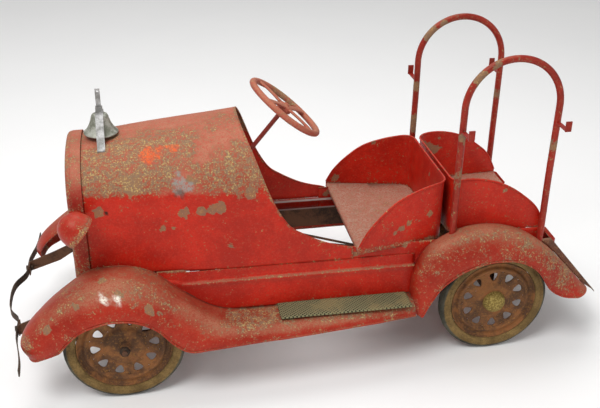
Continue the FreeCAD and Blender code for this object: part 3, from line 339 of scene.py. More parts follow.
def pitted_plate(name, light, dark, metallic=0.6):
    """Dull plating with pits and stains."""
    plate = Finish(name)
    broad = plate.grain(18, 4, 0.6)
    fine = plate.grain(3, 4, 0.65)
    speck = plate.grain(1.1, 2)
    colour = plate.mix(broad.above(0.38, 0.62), dark, light)
    colour = plate.mix(speck.above(0.57, 0.67) * 0.6, colour, (0.10, 0.085, 0.06))
    return plate.coat(colour, 0.42 + fine * 0.25, fine * 0.6 + speck * 0.5, 0.35, metallic=metallic)


def chassis_scale(name, dark=(0.035, 0.022, 0.018), brown=(0.13, 0.06, 0.035)):
    """Bare mild steel gone brown, with darker scale."""
    steel = Finish(name)
    broad = steel.grain(50, 4, 0.6)
    fine = steel.grain(5, 4, 0.65)
    speck = steel.grain(1.5, 2)
    colour = steel.mix((broad * 0.7 + fine * 0.3).above(0.4, 0.6), dark, brown)
    colour = steel.mix(speck.above(0.58, 0.7) * 0.5, colour, (0.24, 0.10, 0.04))
    return steel.coat(colour, 0.66 + fine * 0.2, fine * 0.6 + speck * 0.4, 0.4, metallic=0.15)


# ---------------------------------------------------------------- mesh work

def smooth_rows(rows, steps):
    """Rows of numbers with smoothly blended rows put between them."""
    blended = []
    for i in range(len(rows) - 1):
        around = [rows[max(i - 1, 0)], rows[i], rows[i + 1], rows[min(i + 2, len(rows) - 1)]]
        for step in range(steps):
            u = step / steps
            weights = (-0.5 * u + u * u - 0.5 * u ** 3, 1 - 2.5 * u * u + 1.5 * u ** 3,
                       0.5 * u + 2 * u * u - 1.5 * u ** 3, -0.5 * u * u + 0.5 * u ** 3)
            blended.append([sum(w * row[k] for w, row in zip(weights, around)) for k in range(len(rows[0]))])
    return blended + [list(rows[-1])]


def curve_at(points, x):
    """The second number of a list of pairs, smoothly read at the first."""
    dense = smooth_rows(points, 12)
    if dense[0][0] > dense[-1][0]:
        dense.reverse()
    if x <= dense[0][0]:
        return dense[0][1]
    for low, high in zip(dense, dense[1:]):
        if x <= high[0]:
            return low[1] + (high[1] - low[1]) * (x - low[0]) / (high[0] - low[0])
    return dense[-1][1]


def build(name, shape, body, material, replaced=(), marks=None):
    """A mesh piece that rides on a body, with values painted on it by functions of place."""
    mesh = bpy.data.meshes.new(name)
    mesh.from_pydata([tuple(p) for p in shape.points], [], shape.faces)
    mesh.update()
    for polygon in mesh.polygons:
        polygon.use_smooth = True
    piece = bpy.data.objects.new(name, mesh)
    bpy.context.scene.collection.objects.link(piece)
    mesh.materials.append(material)
    for mark, value_at in (marks or {}).items():
        layer = mesh.attributes.new(mark, "FLOAT", "POINT")
        for vertex, entry in zip(mesh.vertices, layer.data):
            entry.value = value_at(vertex.co)
    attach(piece, body)
    if replaced:
        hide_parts(*replaced)
    return piece


def grid_faces(rows, columns, around=False, start=0):
    faces = []
    for i in range(rows - 1):
        for j in range(columns if around else columns - 1):
            k = (j + 1) % columns
            faces.append((start + i * columns + j, start + i * columns + k,
                          start + (i + 1) * columns + k, start + (i + 1) * columns + j))
    return faces


class Shape:
    """Points and faces gathered for one piece."""

    def __init__(self):
        self.points = []
        self.faces = []

    def grid(self, rows, around=False):
        start = len(self.points)
        for row in rows:
            self.points.extend(Vector(p) for p in row)
        self.faces.extend(grid_faces(len(rows), len(rows[0]), around, start))

    def sheet(self, rows, thick, turned=False):
        """A sheet with its underside thick below its face, closed all round; turned faces the other way."""
        count, width = len(rows), len(rows[0])
        grid = [[Vector(p) for p in (row[::-1] if turned else row)] for row in rows]
        under = []
        for i, row in enumerate(grid):
            line = []
            for j, p in enumerate(row):
                down = grid[min(i + 1, count - 1)][j] - grid[max(i - 1, 0)][j]
                over = row[min(j + 1, width - 1)] - row[max(j - 1, 0)]
                normal = over.cross(down)
                normal = normal.normalized() if normal.length > 1e-12 else Vector((0, 0, 1))
                line.append(p - normal * thick)
            under.append(line)
        start = len(self.points)
        for row in grid + under:
            self.points.extend(row)
        size = count * width
        self.faces.extend(grid_faces(count, width, False, start))
        self.faces.extend(tuple(reversed(face)) for face in grid_faces(count, width, False, start + size))
        edge = list(range(width))
        edge += [i * width + width - 1 for i in range(1, count)]
        edge += [(count - 1) * width + j for j in range(width - 2, -1, -1)]
        edge += [i * width for i in range(count - 2, 0, -1)]
        for a, b in zip(edge, edge[1:] + edge[:1]):
            self.faces.append((start + b, start + a, start + size + a, start + size + b))

    def tube(self, path, radius, segments=10, closed=False):
        """A round bead along a path, with domed ends."""
        path = [Vector(p) for p in path]
        rings = []
        side = None
        for i, p in enumerate(path):
            after = path[(i + 1) % len(path)] if closed or i + 1 < len(path) else p
            before = path[i - 1] if closed or i else p
            along = (after - before).normalized()
            if side is None:
                side = along.orthogonal().normalized()
            side = (side - along * side.dot(along)).normalized()
            up = along.cross(side)
            rings.append([p + (side * math.cos(a) + up * math.sin(a)) * radius
                          for a in (2 * math.pi * k / segments for k in range(segments))])
        if closed:
            rings.append(rings[0])
        self.grid(rings, True)
        if not closed:
            for ring in (rings[0], rings[-1]):
                start = len(self.points)
                self.points.extend(ring)
                self.faces.append(tuple(range(start, start + segments)))

    def lathe(self, profile, segments=72):
        """A profile of radius and height turned about the Z axis."""
        rings = []
        for radius, height in profile:
            rings.append([Vector((radius * math.cos(a), radius * math.sin(a), height))
                          for a in (2 * math.pi * k / segments for k in range(segments))])
        self.grid(rings, True)

    def moved(self, matrix, start=0):
        for i in range(start, len(self.points)):
            self.points[i] = matrix @ self.points[i]


def clamped(value):
    return max(0.0, min(1.0, value))


def near(distance, reach):
    """1 at no distance, falling to 0 at reach."""
    return max(0.0, 1 - distance / reach)


def distance_to(path):
    """A function that gives a point's distance from the nearest point of a path."""
    places = [Vector(p) for p in path]

    def value(p):
        return min((p - q).length for q in places)
    return value


def spot(place, radius, strength=1.0, ragged=0.5):
    """How strongly a ragged round mark shows at a point: 1 at its middle, 0 outside."""
    place = Vector(place)

    def value(p):
        distance = (p - place).length / radius
        if distance > 1.6:
            return 0.0
        distance += ragged * noise.noise(p * (1.3 / radius)) + ragged * 0.5 * noise.noise(p * (4 / radius))
        return strength * min(1.0, max(0.0, (1.0 - distance) * 2.5))
    return value


def marks_of(*entries):
    """The sum of several spots, each given as its place, radius, strength and raggedness."""
    values = [spot(*entry) for entry in entries]

    def value(p):
        return min(1.0, sum(v(p) for v in values))
    return value


# ---------------------------------------------------------------- hood and radiator

ARCH_SQUARENESS = 0.86
COWL_EDGE = [(566, 560), (542, 509), (505, 411), (472, 352), (440, 327), (395, 303), (355, 290), (325, 285)]


HOOD_LENGTH = 0.325
HOOD_TAPER_START = 0.149
HOOD_NARROWING = 0.024
HOOD_CROWN_FRONT, HOOD_CROWN_RISE = 0.509, 0.036


def hood_half(x):
    taper = max(0.0, (x - HOOD_TAPER_START) / HOOD_LENGTH)
    return BODY_HALF - HOOD_NARROWING * taper ** 1.4


def hood_crown(x):
    return HOOD_CROWN_FRONT + HOOD_CROWN_RISE * (HOOD_FRONT - x) / HOOD_LENGTH


def arch_point(x, t, half=None, foot=HOOD_FOOT, grow=0.0):
    """A point of the hood's section: t from 0 at the left foot to 1 at the right foot."""
    half = (hood_half(x) if half is None else half) + grow
    side = 0.24
    if t < side or t > 1 - side:
        share = t / side if t < side else (1 - t) / side
        return Vector((x, half if t < 0.5 else -half, foot + (SHOULDER - foot) * share))
    angle = math.pi * (t - side) / (1 - 2 * side)
    across, up = (math.copysign(abs(v) ** ARCH_SQUARENESS, v) for v in (math.cos(angle), math.sin(angle)))
    return Vector((x, half * across, SHOULDER + (hood_crown(x) + grow - SHOULDER) * up))


def cowl_x(z):
    """Where the raked edge of the cowl stands at a height."""
    if z <= 285.5 * MM:
        return HOOD_REAR
    return max(HOOD_REAR, curve_at([(high, along) for along, high in COWL_EDGE], z / MM) * MM + REAR_AXLE)


def hood():
    columns, rows = 150, 110
    lines = []
    for j in range(columns + 1):
        t = j / columns
        end = 0.1
        for _ in range(12):
            end = cowl_x(arch_point(end, t).z)
        lines.append([arch_point(HOOD_FRONT + (end - HOOD_FRONT) * i / rows, t) for i in range(rows + 1)])
    grid = [[lines[j][i] for j in range(columns + 1)] for i in range(rows + 1)]
    for row in grid:
        for p in row:
            out = Vector((0, p.y, 0)).normalized() if p.z < SHOULDER else Vector((0, p.y,
                                                                                  p.z - 0.35)).normalized()
            dent = noise.noise(p * 9) * 0.9 + noise.noise(p * 23 + Vector((3, 1, 2))) * 0.35
            p += out * (dent - 0.6) * MM
    shape = Shape()
    shape.sheet(grid, HEAVY_SHEET)
    shape.tube(grid[-1], 1.9 * MM, 8)
    scars = marks_of(
        ((0.276, 0.146, 0.395), 0.014), ((0.240, 0.148, 0.397), 0.013),
        ((0.218, 0.149, 0.399), 0.014), ((0.200, 0.150, 0.403), 0.017),
        ((0.320, 0.142, 0.360), 0.009), ((0.298, 0.144, 0.361), 0.006),
        ((0.182, 0.151, 0.314), 0.007), ((0.447, 0.131, 0.403), 0.017, 0.8),
        ((0.374, 0.129, 0.460), 0.030, 0.8), ((0.256, 0.134, 0.462), 0.016, 0.8),
        ((0.150, 0.149, 0.440), 0.030, 0.6), ((0.262, 0.095, 0.508), 0.018, 0.6),
        ((0.31, 0.062, 0.52), 0.018, 0.5), ((0.25, -0.148, 0.40), 0.02), ((0.33, -0.142, 0.37), 0.03, 0.7))
    rubbed = marks_of(
        ((0.425, 0.118, 0.462), 0.050, 0.9), ((0.437, 0.098, 0.488), 0.060, 0.95),
        ((0.350, 0.125, 0.465), 0.060, 0.8), ((0.158, 0.127, 0.496), 0.050, 1.0),
        ((0.150, 0.143, 0.462), 0.055, 1.0), ((0.215, 0.143, 0.455), 0.055, 0.75),
        ((0.335, 0.090, 0.505), 0.080, 0.75), ((0.280, 0.105, 0.500), 0.055, 0.6),
        ((0.330, 0.040, 0.520), 0.060, 0.65), ((0.250, 0.060, 0.525), 0.055, 0.6),
        ((0.18, 0.01, 0.54), 0.05, 0.45), ((0.40, 0.05, 0.505), 0.06, 0.6),
        ((0.30, -0.12, 0.48), 0.07, 0.7), ((0.16, -0.13, 0.48), 0.06, 0.9), ((0.44, -0.09, 0.49), 0.07, 0.8))

    def worn(p):
        top = clamped((p.z - 0.425) / 0.02)
        lip = near(abs(p.x - cowl_x(p.z)), 0.006) * 0.9 if p.x < 0.16 else 0.0
        seam = near(p.z - HOOD_FOOT, 0.006) * 0.5 + near(HOOD_FRONT - p.x, 0.012) * 0.7
        return min(1.0, rubbed(p) * (0.25 + 0.75 * top) + top * 0.16 + lip + seam)

    def fade_and_painted_light(p):
        return 0.80 * clamped((p.z - 0.428 + 0.012 * noise.noise(p * 26)) / 0.014)

    # Two small holes by the lamp, painted near-black as painted shade instead of being cut.
    holes = marks_of(((0.430, 0.132, 0.400), 0.0045, 1, 0.2), ((0.425, 0.131, 0.409), 0.003, 1, 0.2))
    build("hood_shell", shape, "body", ENAMEL, ("hood",), {
        "worn": worn, "fade_and_painted_light": fade_and_painted_light, "hole": holes, "scar": scars,
        "orange": marks_of(((0.336, 0.089, 0.506), 0.022, 0.9, 0.9), ((0.288, 0.088, 0.513), 0.013, 1, 0.8),
                           ((0.315, 0.080, 0.512), 0.012, 0.7, 0.9)),
        "silver": marks_of(((0.281, 0.140, 0.453), 0.021, 1, 0.5), ((0.262, 0.141, 0.452), 0.012, 1, 0.4),
                           ((0.283, 0.128, 0.476), 0.007, 1, 0.5)),
        "grime_and_painted_shade": marks_of(((0.281, 0.146, 0.440), 0.012, 0.8, 0.9))})


def radiator():
    """The pressed radiator shell: a rolled nose with a recess for the grille."""
    low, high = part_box("radiator_shell")
    half = high.y
    start, front = low.x, high.x
    foot = low.z
    profile = [(start, 0.0), (start + 6 * MM, 0.0), (start + 20 * MM, -0.3 * MM), (front - 9 * MM, -0.8 * MM),
               (front - 4 * MM, -2.0 * MM), (front - 1.2 * MM, -4.4 * MM), (front, -8 * MM),
               (front - 0.6 * MM, -11.5 * MM), (front - 3 * MM, -13.5 * MM), (front - 6.5 * MM, -14 * MM)]
    rows = []
    for x, inset in smooth_rows(profile, 3):
        row = []
        for j in range(121):
            p = arch_point(HOOD_FRONT, j / 120, half, foot, inset)
            row.append(Vector((x, p.y, p.z + 3 * MM * min(1, max(0, (p.z - SHOULDER) / 0.03)))))
        rows.append(row)
    shape = Shape()
    shape.sheet(rows, SHEET, True)
    build("radiator_nose", shape, "body", NOSE_ENAMEL,
          ("radiator_shell",), {
              "worn": lambda p: 0.45 + 0.35 * clamped((p.x - front + 0.012) / 0.01),
              "fade_and_painted_light": lambda p: 0.6 * clamped((p.z - 0.42) / 0.03)})


# ---------------------------------------------------------------- fenders and running boards

def fender_row(kx, kz, ax, az, inner_y, crown_y, outer_y, drop, side):
    """A section from the body, over the crown k, to the edge of the skirt a, in metres."""
    fall = Vector((ax - kx, 0, az - kz))
    depth = fall.length
    fall.normalize()
    outline = []
    for step in range(7):
        share = step / 6
        lift = drop * (1 - share) ** 2
        outline.append((inner_y + (crown_y - inner_y) * share * 0.85, lift))
    for step in range(1, 19):
        angle = math.pi / 2 * step / 18
        start_y = inner_y + (crown_y - inner_y) * 0.85
        outline.append((start_y + (outer_y - start_y) * math.sin(angle),
                        depth * (1 - math.cos(angle)) ** 0.95))
    return [Vector((REAR_AXLE + kx * MM + fall.x * down * MM, side * y * MM, kz * MM + fall.z * down * MM))
            for y, down in outline]


def fender_shape(rows, side):
    grid = [fender_row(*row, side) for row in smooth_rows(rows, 7)]
    for row in grid:
        for p in row:
            p.z += (noise.noise(p * 14) * 1.1 + noise.noise(p * 37) * 0.4) * MM
    shape = Shape()
    shape.sheet(grid, HEAVY_SHEET, side < 0)
    edge = [row[-1] for row in grid]
    shape.tube(edge, 1.9 * MM, 8)
    return shape, grid, edge


FRONT_ROWS_AROUND = [
    ((194, -3), (168, 8), 170, 206, 13, 5), ((209, 20), (138, 22), 164, 203, 5, 12),
    ((196, 54), (125, 31), 156, 201, 1, 12), ((164, 87), (108, 51), 148, 200, 0, 11),
    ((119, 121), (82, 73), 141, 200, 0, 10), ((67, 151), (46, 86), 136, 200, 0, 9),
    ((17, 160), (12, 90), 140, 200, 0, 8), ((-31, 155), (-31, 83), 145, 201, 0, 6),
    ((-76, 135), (-71, 59), 150, 204, 0, 4), ((-120, 102), (-104, 21), 162.6, 212, 0, 3),
    ((-158, 73), (-136, 0), 164.6, 222, 0, 2)]


def front_fenders():
    wheel = WHEEL_RADIUS / MM
    hub = (FRONT_AXLE - REAR_AXLE) / MM
    width = BODY_HALF / MM
    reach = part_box("front_fender_left")[1].y / MM
    level = 164
    rear = (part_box("sill_left")[0].x - REAR_AXLE) / MM
    for name, side in SIDES:
        rows = []
        for crown, edge, inner_y, crown_y, back, drop in FRONT_ROWS_AROUND:
            at_x = (hub + crown[0]) * MM + REAR_AXLE
            gap = 12.6 if inner_y > width else 0.6
            rows.append((hub + crown[0], wheel + crown[1], hub + edge[0], wheel + edge[1],
                         max(inner_y, hood_half(at_x) / MM + gap), crown_y, reach - 0.8 - back, drop))
        along = [(hub - 194, level + 13, hub - 176, level - 35, 228, reach),
                 (hub - 236, level + 2, hub - 231, level - 32, 233, reach - 1),
                 (hub - 306, level, hub - 306, level - 28, 234, reach - 3),
                 (0.5 * (hub - 306 + rear), level + 1, 0.5 * (hub - 306 + rear), level - 25, 218, reach - 15),
                 (rear, level + 2, rear, level - 21, 202, reach - 32)]
        for kx, kz, ax, az, crown_y, outer_y in along:
            rows.append((kx, kz, ax, az, width + 12.6, crown_y, outer_y, 0.5))
        shape, grid, edge = fender_shape(rows, side)
        shape.tube(grid[0], 1.8 * MM, 8)
        shape.tube([row[0] for row in grid[:70]], 1.2 * MM, 6)
        to_edge = distance_to(edge[::3])
        to_crest = distance_to([row[13] for row in grid][::3])
        scars = marks_of(
            ((0.500, side * 0.232, 0.245), 0.013, 0.8), ((0.412, side * 0.235, 0.270), 0.014, 0.8),
            ((0.356, side * 0.247, 0.236), 0.016), ((0.560, side * 0.236, 0.20), 0.015, 0.8),
            ((0.45, side * 0.20, 0.285), 0.013, 0.7), ((0.34, side * 0.250, 0.225), 0.008, 0.8))
        rubbed = marks_of(
            ((0.13, side * 0.21, 0.168), 0.06, 0.4), ((0.60, side * 0.21, 0.15), 0.04, 0.4),
            ((0.52, side * 0.19, 0.25), 0.05, 0.3), ((0.36, side * 0.19, 0.26), 0.07, 0.3))

        def worn(p):
            edge_wear = 0.6 * near(to_edge(p), 0.006)
            ridge = 0.40 * near(to_crest(p), 0.014)
            board = 0.42 * clamped((0.177 - p.z) / 0.006) if p.x < 0.22 and abs(p.y) < 0.234 else 0.0
            inner = 0.5 * near(abs(p.y) - 0.13, 0.03) if p.x > 0.22 else 0.0
            return min(1.0, rubbed(p) + edge_wear + ridge + board + inner + 0.22)

        # Lighter along the crest, a painted highlight, and less bleached low at the front, a painted shade,
        # over an even fade.
        def fade_and_painted_light(p):
            low_part = clamped((0.23 - p.z) / 0.06) if p.x > 0.47 else 0.0
            return 0.20 + 0.28 * near(to_crest(p), 0.035) - 0.2 * low_part

        # Darker along the inner edge beside the body, where the fender runs over the board.
        def grime_and_painted_shade(p):
            return 0.8 * near(abs(p.y) - 0.1646, 0.008) if p.x < 0.28 else 0.0

        build(f"front_fender_shell_{name}", shape, "body", FENDER_ENAMEL,
              (f"front_fender_{name}",), {
                  "worn": worn, "fade_and_painted_light": fade_and_painted_light, "grime_and_painted_shade": grime_and_painted_shade, "scar": scars,
                  "white": marks_of(((0.447, side * 0.240, 0.268), 0.012, 1, 0.9),
                                    ((0.420, side * 0.243, 0.262), 0.009, 1, 1.0))})


def rear_fenders():
    wheel = WHEEL_RADIUS / MM
    inner = BODY_HALF / MM + 0.3
    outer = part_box("rear_fender_left")[1].y / MM - 0.8
    stations = [
        ((197, 10), (180, 1)), ((200, 52), (166, 32)), ((192, 98), (146, 66)), ((162, 151), (120, 90)),
        ((100, 185), (84, 112)), ((33, 194), (30, 126)), ((-38, 179), (-32, 121)), ((-100, 142), (-80, 92)),
        ((-146, 98), (-114, 44)), ((-188, 53), (-150, 20)), ((-216, 22), (-186, 14))]
    for name, side in SIDES:
        rows = [(crown[0], wheel + crown[1], edge[0], wheel + edge[1], inner, inner + 34, outer, 3)
                for crown, edge in stations]
        shape, grid, edge = fender_shape(rows, side)
        for end in (grid[0], grid[-1]):
            shape.tube(end, 1.7 * MM, 8)
        to_edge = distance_to(edge[::2])
        to_crest = distance_to([row[11] for row in grid][::2])
        rubbed = marks_of(
            ((-0.33, side * 0.20, 0.30), 0.06, 0.3), ((-0.43, side * 0.205, 0.305), 0.06, 0.35),
            ((-0.50, side * 0.205, 0.27), 0.06, 0.35), ((-0.545, side * 0.208, 0.22), 0.05, 0.45),
            ((-0.575, side * 0.208, 0.18), 0.045, 0.5), ((-0.25, side * 0.20, 0.26), 0.045, 0.3))

        def worn(p):
            return min(1.0, rubbed(p) + 0.6 * near(to_edge(p), 0.006) + 0.34
                       + 0.25 * near(to_crest(p), 0.022) - 0.15)

        # Lighter along the crest, a painted highlight, and less bleached low down, a painted shade, over an
        # even fade.
        def fade_and_painted_light(p):
            low_part = clamped((0.25 - p.z) / 0.05)
            return 0.26 + 0.32 * near(to_crest(p), 0.045) - 0.25 * low_part

        build(f"rear_fender_shell_{name}", shape, "body", FENDER_ENAMEL,
              (f"rear_fender_{name}",), {
                  "worn": worn, "fade_and_painted_light": fade_and_painted_light,
                  # Darker at the fender's rear inner end, by the tail.
                  "grime_and_painted_shade": lambda p: 0.8 * clamped((-0.565 - p.x) / 0.03)
                                     * clamped((0.195 - abs(p.y)) / 0.02)})


# ---------------------------------------------------------------- step mats

def step_mats():
    """Ribbed rubber pads with softened, slightly curled edges."""
    for name, side in SIDES:
        low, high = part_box(f"step_mat_{name}")
        y_in, y_out = sorted((abs(low.y), abs(high.y)))
        y_in, y_out = y_in + 2 * MM, y_out + 4 * MM
        rows = []
        for i in range(81):
            u = i / 80
            x = low.x - 3 * MM + (high.x - low.x + 6 * MM) * u
            row = []
            for k in range(25):
                v = k / 24
                rim = min(min(u, 1 - u) * 80, min(v, 1 - v) * 24)
                p = Vector((x, side * (y_in + (y_out - y_in) * v), 0))
                ragged = noise.noise(Vector((p.x * 60, p.y * 60, side))) * 1.2 * MM * (1 if rim == 0 else 0)
                wave = noise.noise(p * 22) * 0.5 * MM
                p.z = high.z + 1.6 * MM + wave - (1.2 * MM if rim < 1 else 0.3 * MM if rim < 2 else 0)
                p.x += ragged
                row.append(p)
            rows.append(row)
        shape = Shape()
        shape.sheet(rows, 2.6 * MM, side < 0)
        build(f"step_mat_{name}_pad", shape, "body", MAT, (f"step_mat_{name}",))


# ---------------------------------------------------------------- body sides and tail

def side_panels():
    """The low cockpit sides, with ledges where they are folded in, painted pale grey for dust and a painted
    highlight.
    """
    for name, side in SIDES:
        low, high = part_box(f"side_panel_{name}")
        wall = max(abs(low.y), abs(high.y))
        seat_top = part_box("front_seat_back")[0].z - 0.3 * MM
        step_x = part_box("front_seat_back")[0].x - 3 * MM
        rows = []
        for i in range(91):
            x = high.x + (low.x + 20 * MM - high.x) * i / 90
            top = seat_top + (high.z - seat_top) * clamped((step_x - x) / (12 * MM))
            top = min(top, high.z - max(0.0, (-0.523 - x)) * 1.15)
            rows.append([Vector((x, side * wall, low.z + (top - low.z) * (1 - k / 12))) for k in range(13)])
        shape = Shape()
        shape.sheet(rows, SHEET, side > 0)
        shape.tube([row[0] - Vector((0, side * 0.7 * MM, 0.5 * MM)) for row in rows], 1.3 * MM, 8)
        for level in (HOOD_FOOT - 1.5 * MM, low.z + 4 * MM):
            rows = []
            for i in range(61):
                x = 0.27 + (-0.21 - 0.27) * i / 60
                wave = noise.noise(Vector((x * 25, level * 50, side))) * 1.2 * MM
                rows.append([Vector((x, side * (wall - 1.2 * MM - 11 * MM * k / 3 - wave * k / 3),
                                     level + wave * k / 3))
                             for k in range(4)])
            shape.sheet(rows, SHEET, side < 0)

        # Pale grey on the folded-in ledges: dust and a painted highlight.
        def ledge_dust_and_highlight(p):
            return clamped((wall - 3 * MM - abs(p.y)) / (2 * MM))

        build(f"side_panel_{name}_sheet", shape, "body", ENAMEL,
              (f"side_panel_{name}",), {
                  "worn": lambda p: 0.8 * near(abs(p.z - seat_top), 0.005) + 0.1, "ledge_dust_and_highlight": ledge_dust_and_highlight,
                  "scar": marks_of(((-0.085, side * wall, 0.266), 0.012, 0.7),
                                   ((-0.20, side * wall, 0.28), 0.012, 0.8))})


def sills():
    """The stepped valances over the running boards: a hem, a flat, and a flare at the foot."""
    for name, side in SIDES:
        low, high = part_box(f"sill_{name}")
        foot = max(abs(low.y), abs(high.y))
        wall = foot - 14 * MM
        section = [(wall + 0.6 * MM, high.z), (wall + 0.6 * MM, high.z - 10 * MM),
                   (wall + 1 * MM, high.z - 20 * MM),
                   (wall + 3.2 * MM, high.z - 24.5 * MM), (wall + 7.6 * MM, high.z - 26 * MM),
                   (wall + 9.2 * MM, high.z - 28 * MM), (wall + 9.6 * MM, high.z - 34 * MM),
                   (wall + 11 * MM, high.z - 55 * MM), (wall + 13 * MM, high.z - 76 * MM),
                   (foot + 0.4 * MM, low.z - 3 * MM)]
        section = smooth_rows(section, 3)
        rows = []
        for i in range(81):
            x = low.x - 11 * MM + (high.x - low.x + 71 * MM) * i / 80
            lift = max(0.0, (x - high.x) / (60 * MM)) * 0.6
            row = []
            for y, z in section:
                p = Vector((x, side * (y - (y - wall) * lift), z + (high.z - z) * lift))
                if x > high.x and high.z - z < 11 * MM:
                    ramp = min(1.0, (x - high.x) / (4 * MM))
                    p += Vector((0, -side * 2.2 * MM, 5 * MM)) * ramp
                p.y += side * noise.noise(p * 13) * 0.7 * MM * min(1.0, (high.z - z) / (10 * MM))
                row.append(p)
            rows.append(row)
        shape = Shape()
        shape.sheet(rows, SHEET, side < 0)
        step = high.z - 26 * MM
        build(f"sill_{name}_sheet", shape, "body", ENAMEL, (f"sill_{name}",), {
            "worn": lambda p: 0.85 * near(abs(p.z - step), 0.0035)
                              + 0.5 * near(p.z - low.z, 0.006) + 0.6 * near(high.z - p.z, 0.004),
            # A painted highlight, with dust, along the top of the step.
            "fade_and_painted_light": lambda p: 0.6 * near(abs(p.z - step), 0.004),
            # A painted shadow just below the step.
            "grime_and_painted_shade": lambda p: 0.5 * near(abs(p.z - step + 0.006), 0.004)})


def tail():
    """The sloping tail plate, with a narrow flange down each side to the fender."""
    low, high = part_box("tail_plate")
    top, foot = Vector((high.x, 0, high.z)), Vector((low.x, 0, low.z + 1 * MM))
    square = Vector((foot.z - top.z, 0, top.x - foot.x)).normalized()
    rows = []
    for i in range(41):
        line = top.lerp(foot, i / 40)
        row = []
        for j in range(49):
            p = line + Vector((0, high.y * (1 - 2 * j / 48), 0))
            dent = noise.noise(p * 10) * 1.1 * MM * min(1.0, (high.y - abs(p.y)) / 0.02)
            row.append(p + square * (-0.8 * MM + min(0.0, dent)))
        rows.append(row)
    shape = Shape()
    shape.sheet(rows, HEAVY_SHEET, True)
    ridge = [(-0.504, 0.275), (-0.513, 0.268), (-0.535, 0.248), (-0.557, 0.225), (-0.578, 0.202),
             (-0.599, 0.180),
             (-0.616, 0.162), (-0.627, 0.149)]
    for side in (1, -1):
        wedge = []
        for i, (x, z) in enumerate(ridge):
            at = top.lerp(foot, min(1.0, 0.045 + i * 0.135))
            wedge.append([Vector((at.x, side * high.y, at.z)).lerp(Vector((x, side * (high.y + 2 * MM),
                                                                           z)), k / 3)
                          for k in range(4)])
        shape.sheet(wedge, SHEET, side < 0)
    build("tail_plate_sheet", shape, "body", TAIL, ("tail_plate",), {
        "worn": lambda p: 0.3, "fade_and_painted_light": lambda p: 0.3, "grime_and_painted_shade": lambda p: 0.8 * near(p.z - low.z, 0.012)})


# ---------------------------------------------------------------- seats

def seat_path(x_back, x_end, half_back, half_end, corner, steps=14):
    """The seat's plan from its open left end, round the back, to its open right end."""
    sign = 1 if x_end > x_back else -1
    side = Vector((x_back - x_end, half_back - half_end, 0)).normalized()
    back_left = Vector((x_back, half_back, 0))
    cut = corner * 0.92
    start = back_left - side * cut
    end = back_left + Vector((0, -cut, 0))
    points = [Vector((x_end, half_end, 0)).lerp(start, k / 34) for k in range(34)]
    for k in range(steps + 1):
        u = k / steps
        points.append(start * (1 - u) ** 2 + back_left * 2 * u * (1 - u) + end * u * u)
    mirror = [Vector((p.x, -p.y, 0)) for p in reversed(points)]
    between = [end.lerp(mirror[0], k / 24) for k in range(1, 24)]
    return points + between + mirror, sign


def seat_wrap(node, profile, marks):
    """The wrapped sheet of a seat with a rolled wire rim."""
    low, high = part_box(node)
    front = node.startswith("front")
    x_back, x_end = (low.x, high.x) if front else (high.x, low.x)
    half_end = high.y
    half_back = 0.131
    path, sign = seat_path(x_back, x_end, half_back, half_end, 0.028)
    levels = 26
    grid = []
    for i in range(levels + 1):
        row = []
        for p in path:
            top = curve_at(profile, (p.x - REAR_AXLE) / MM) * MM
            foot = low.z - (9 * MM if abs(p.y) < 0.1455 or front else 0)
            z = foot + (top - foot) * i / levels
            bulge = 1.2 * MM * math.sin(math.pi * i / levels) + noise.noise(Vector((p.x, p.y,
                                                                                    z)) * 16) * 0.8 * MM
            row.append(Vector((p.x + sign * bulge * (0.5 - (p.x - x_back) / (x_end - x_back)) * 0.6, p.y, z)))
        grid.append(row)
    shape = Shape()
    shape.sheet(grid, SHEET, not front)
    rim = [p + Vector((0, 0, -0.6 * MM)) for p in grid[-1]]
    shape.tube(rim, 2.3 * MM, 10)
    shape.tube([row[0] for row in grid], 1.6 * MM, 8)
    shape.tube([row[-1] for row in grid], 1.6 * MM, 8)
    to_rim = distance_to(rim[::2])
    chips = marks_of(*marks)

    def worn(p):
        return min(1.0, 0.7 * near(to_rim(p), 0.004) + 0.8 * near(p.z - low.z, 0.008) + 0.1)

    def fade_and_painted_light(p):
        inward = 0.4 if abs(p.x - x_back) < 0.12 else 0.0
        return inward * clamped((0.41 - p.z) / 0.1) + 0.8 * near(to_rim(p), 0.005)

    build(f"{node}_sheet", shape, "body", SEAT_ENAMEL, (node,),
          {"worn": worn, "fade_and_painted_light": fade_and_painted_light, "scar": chips})


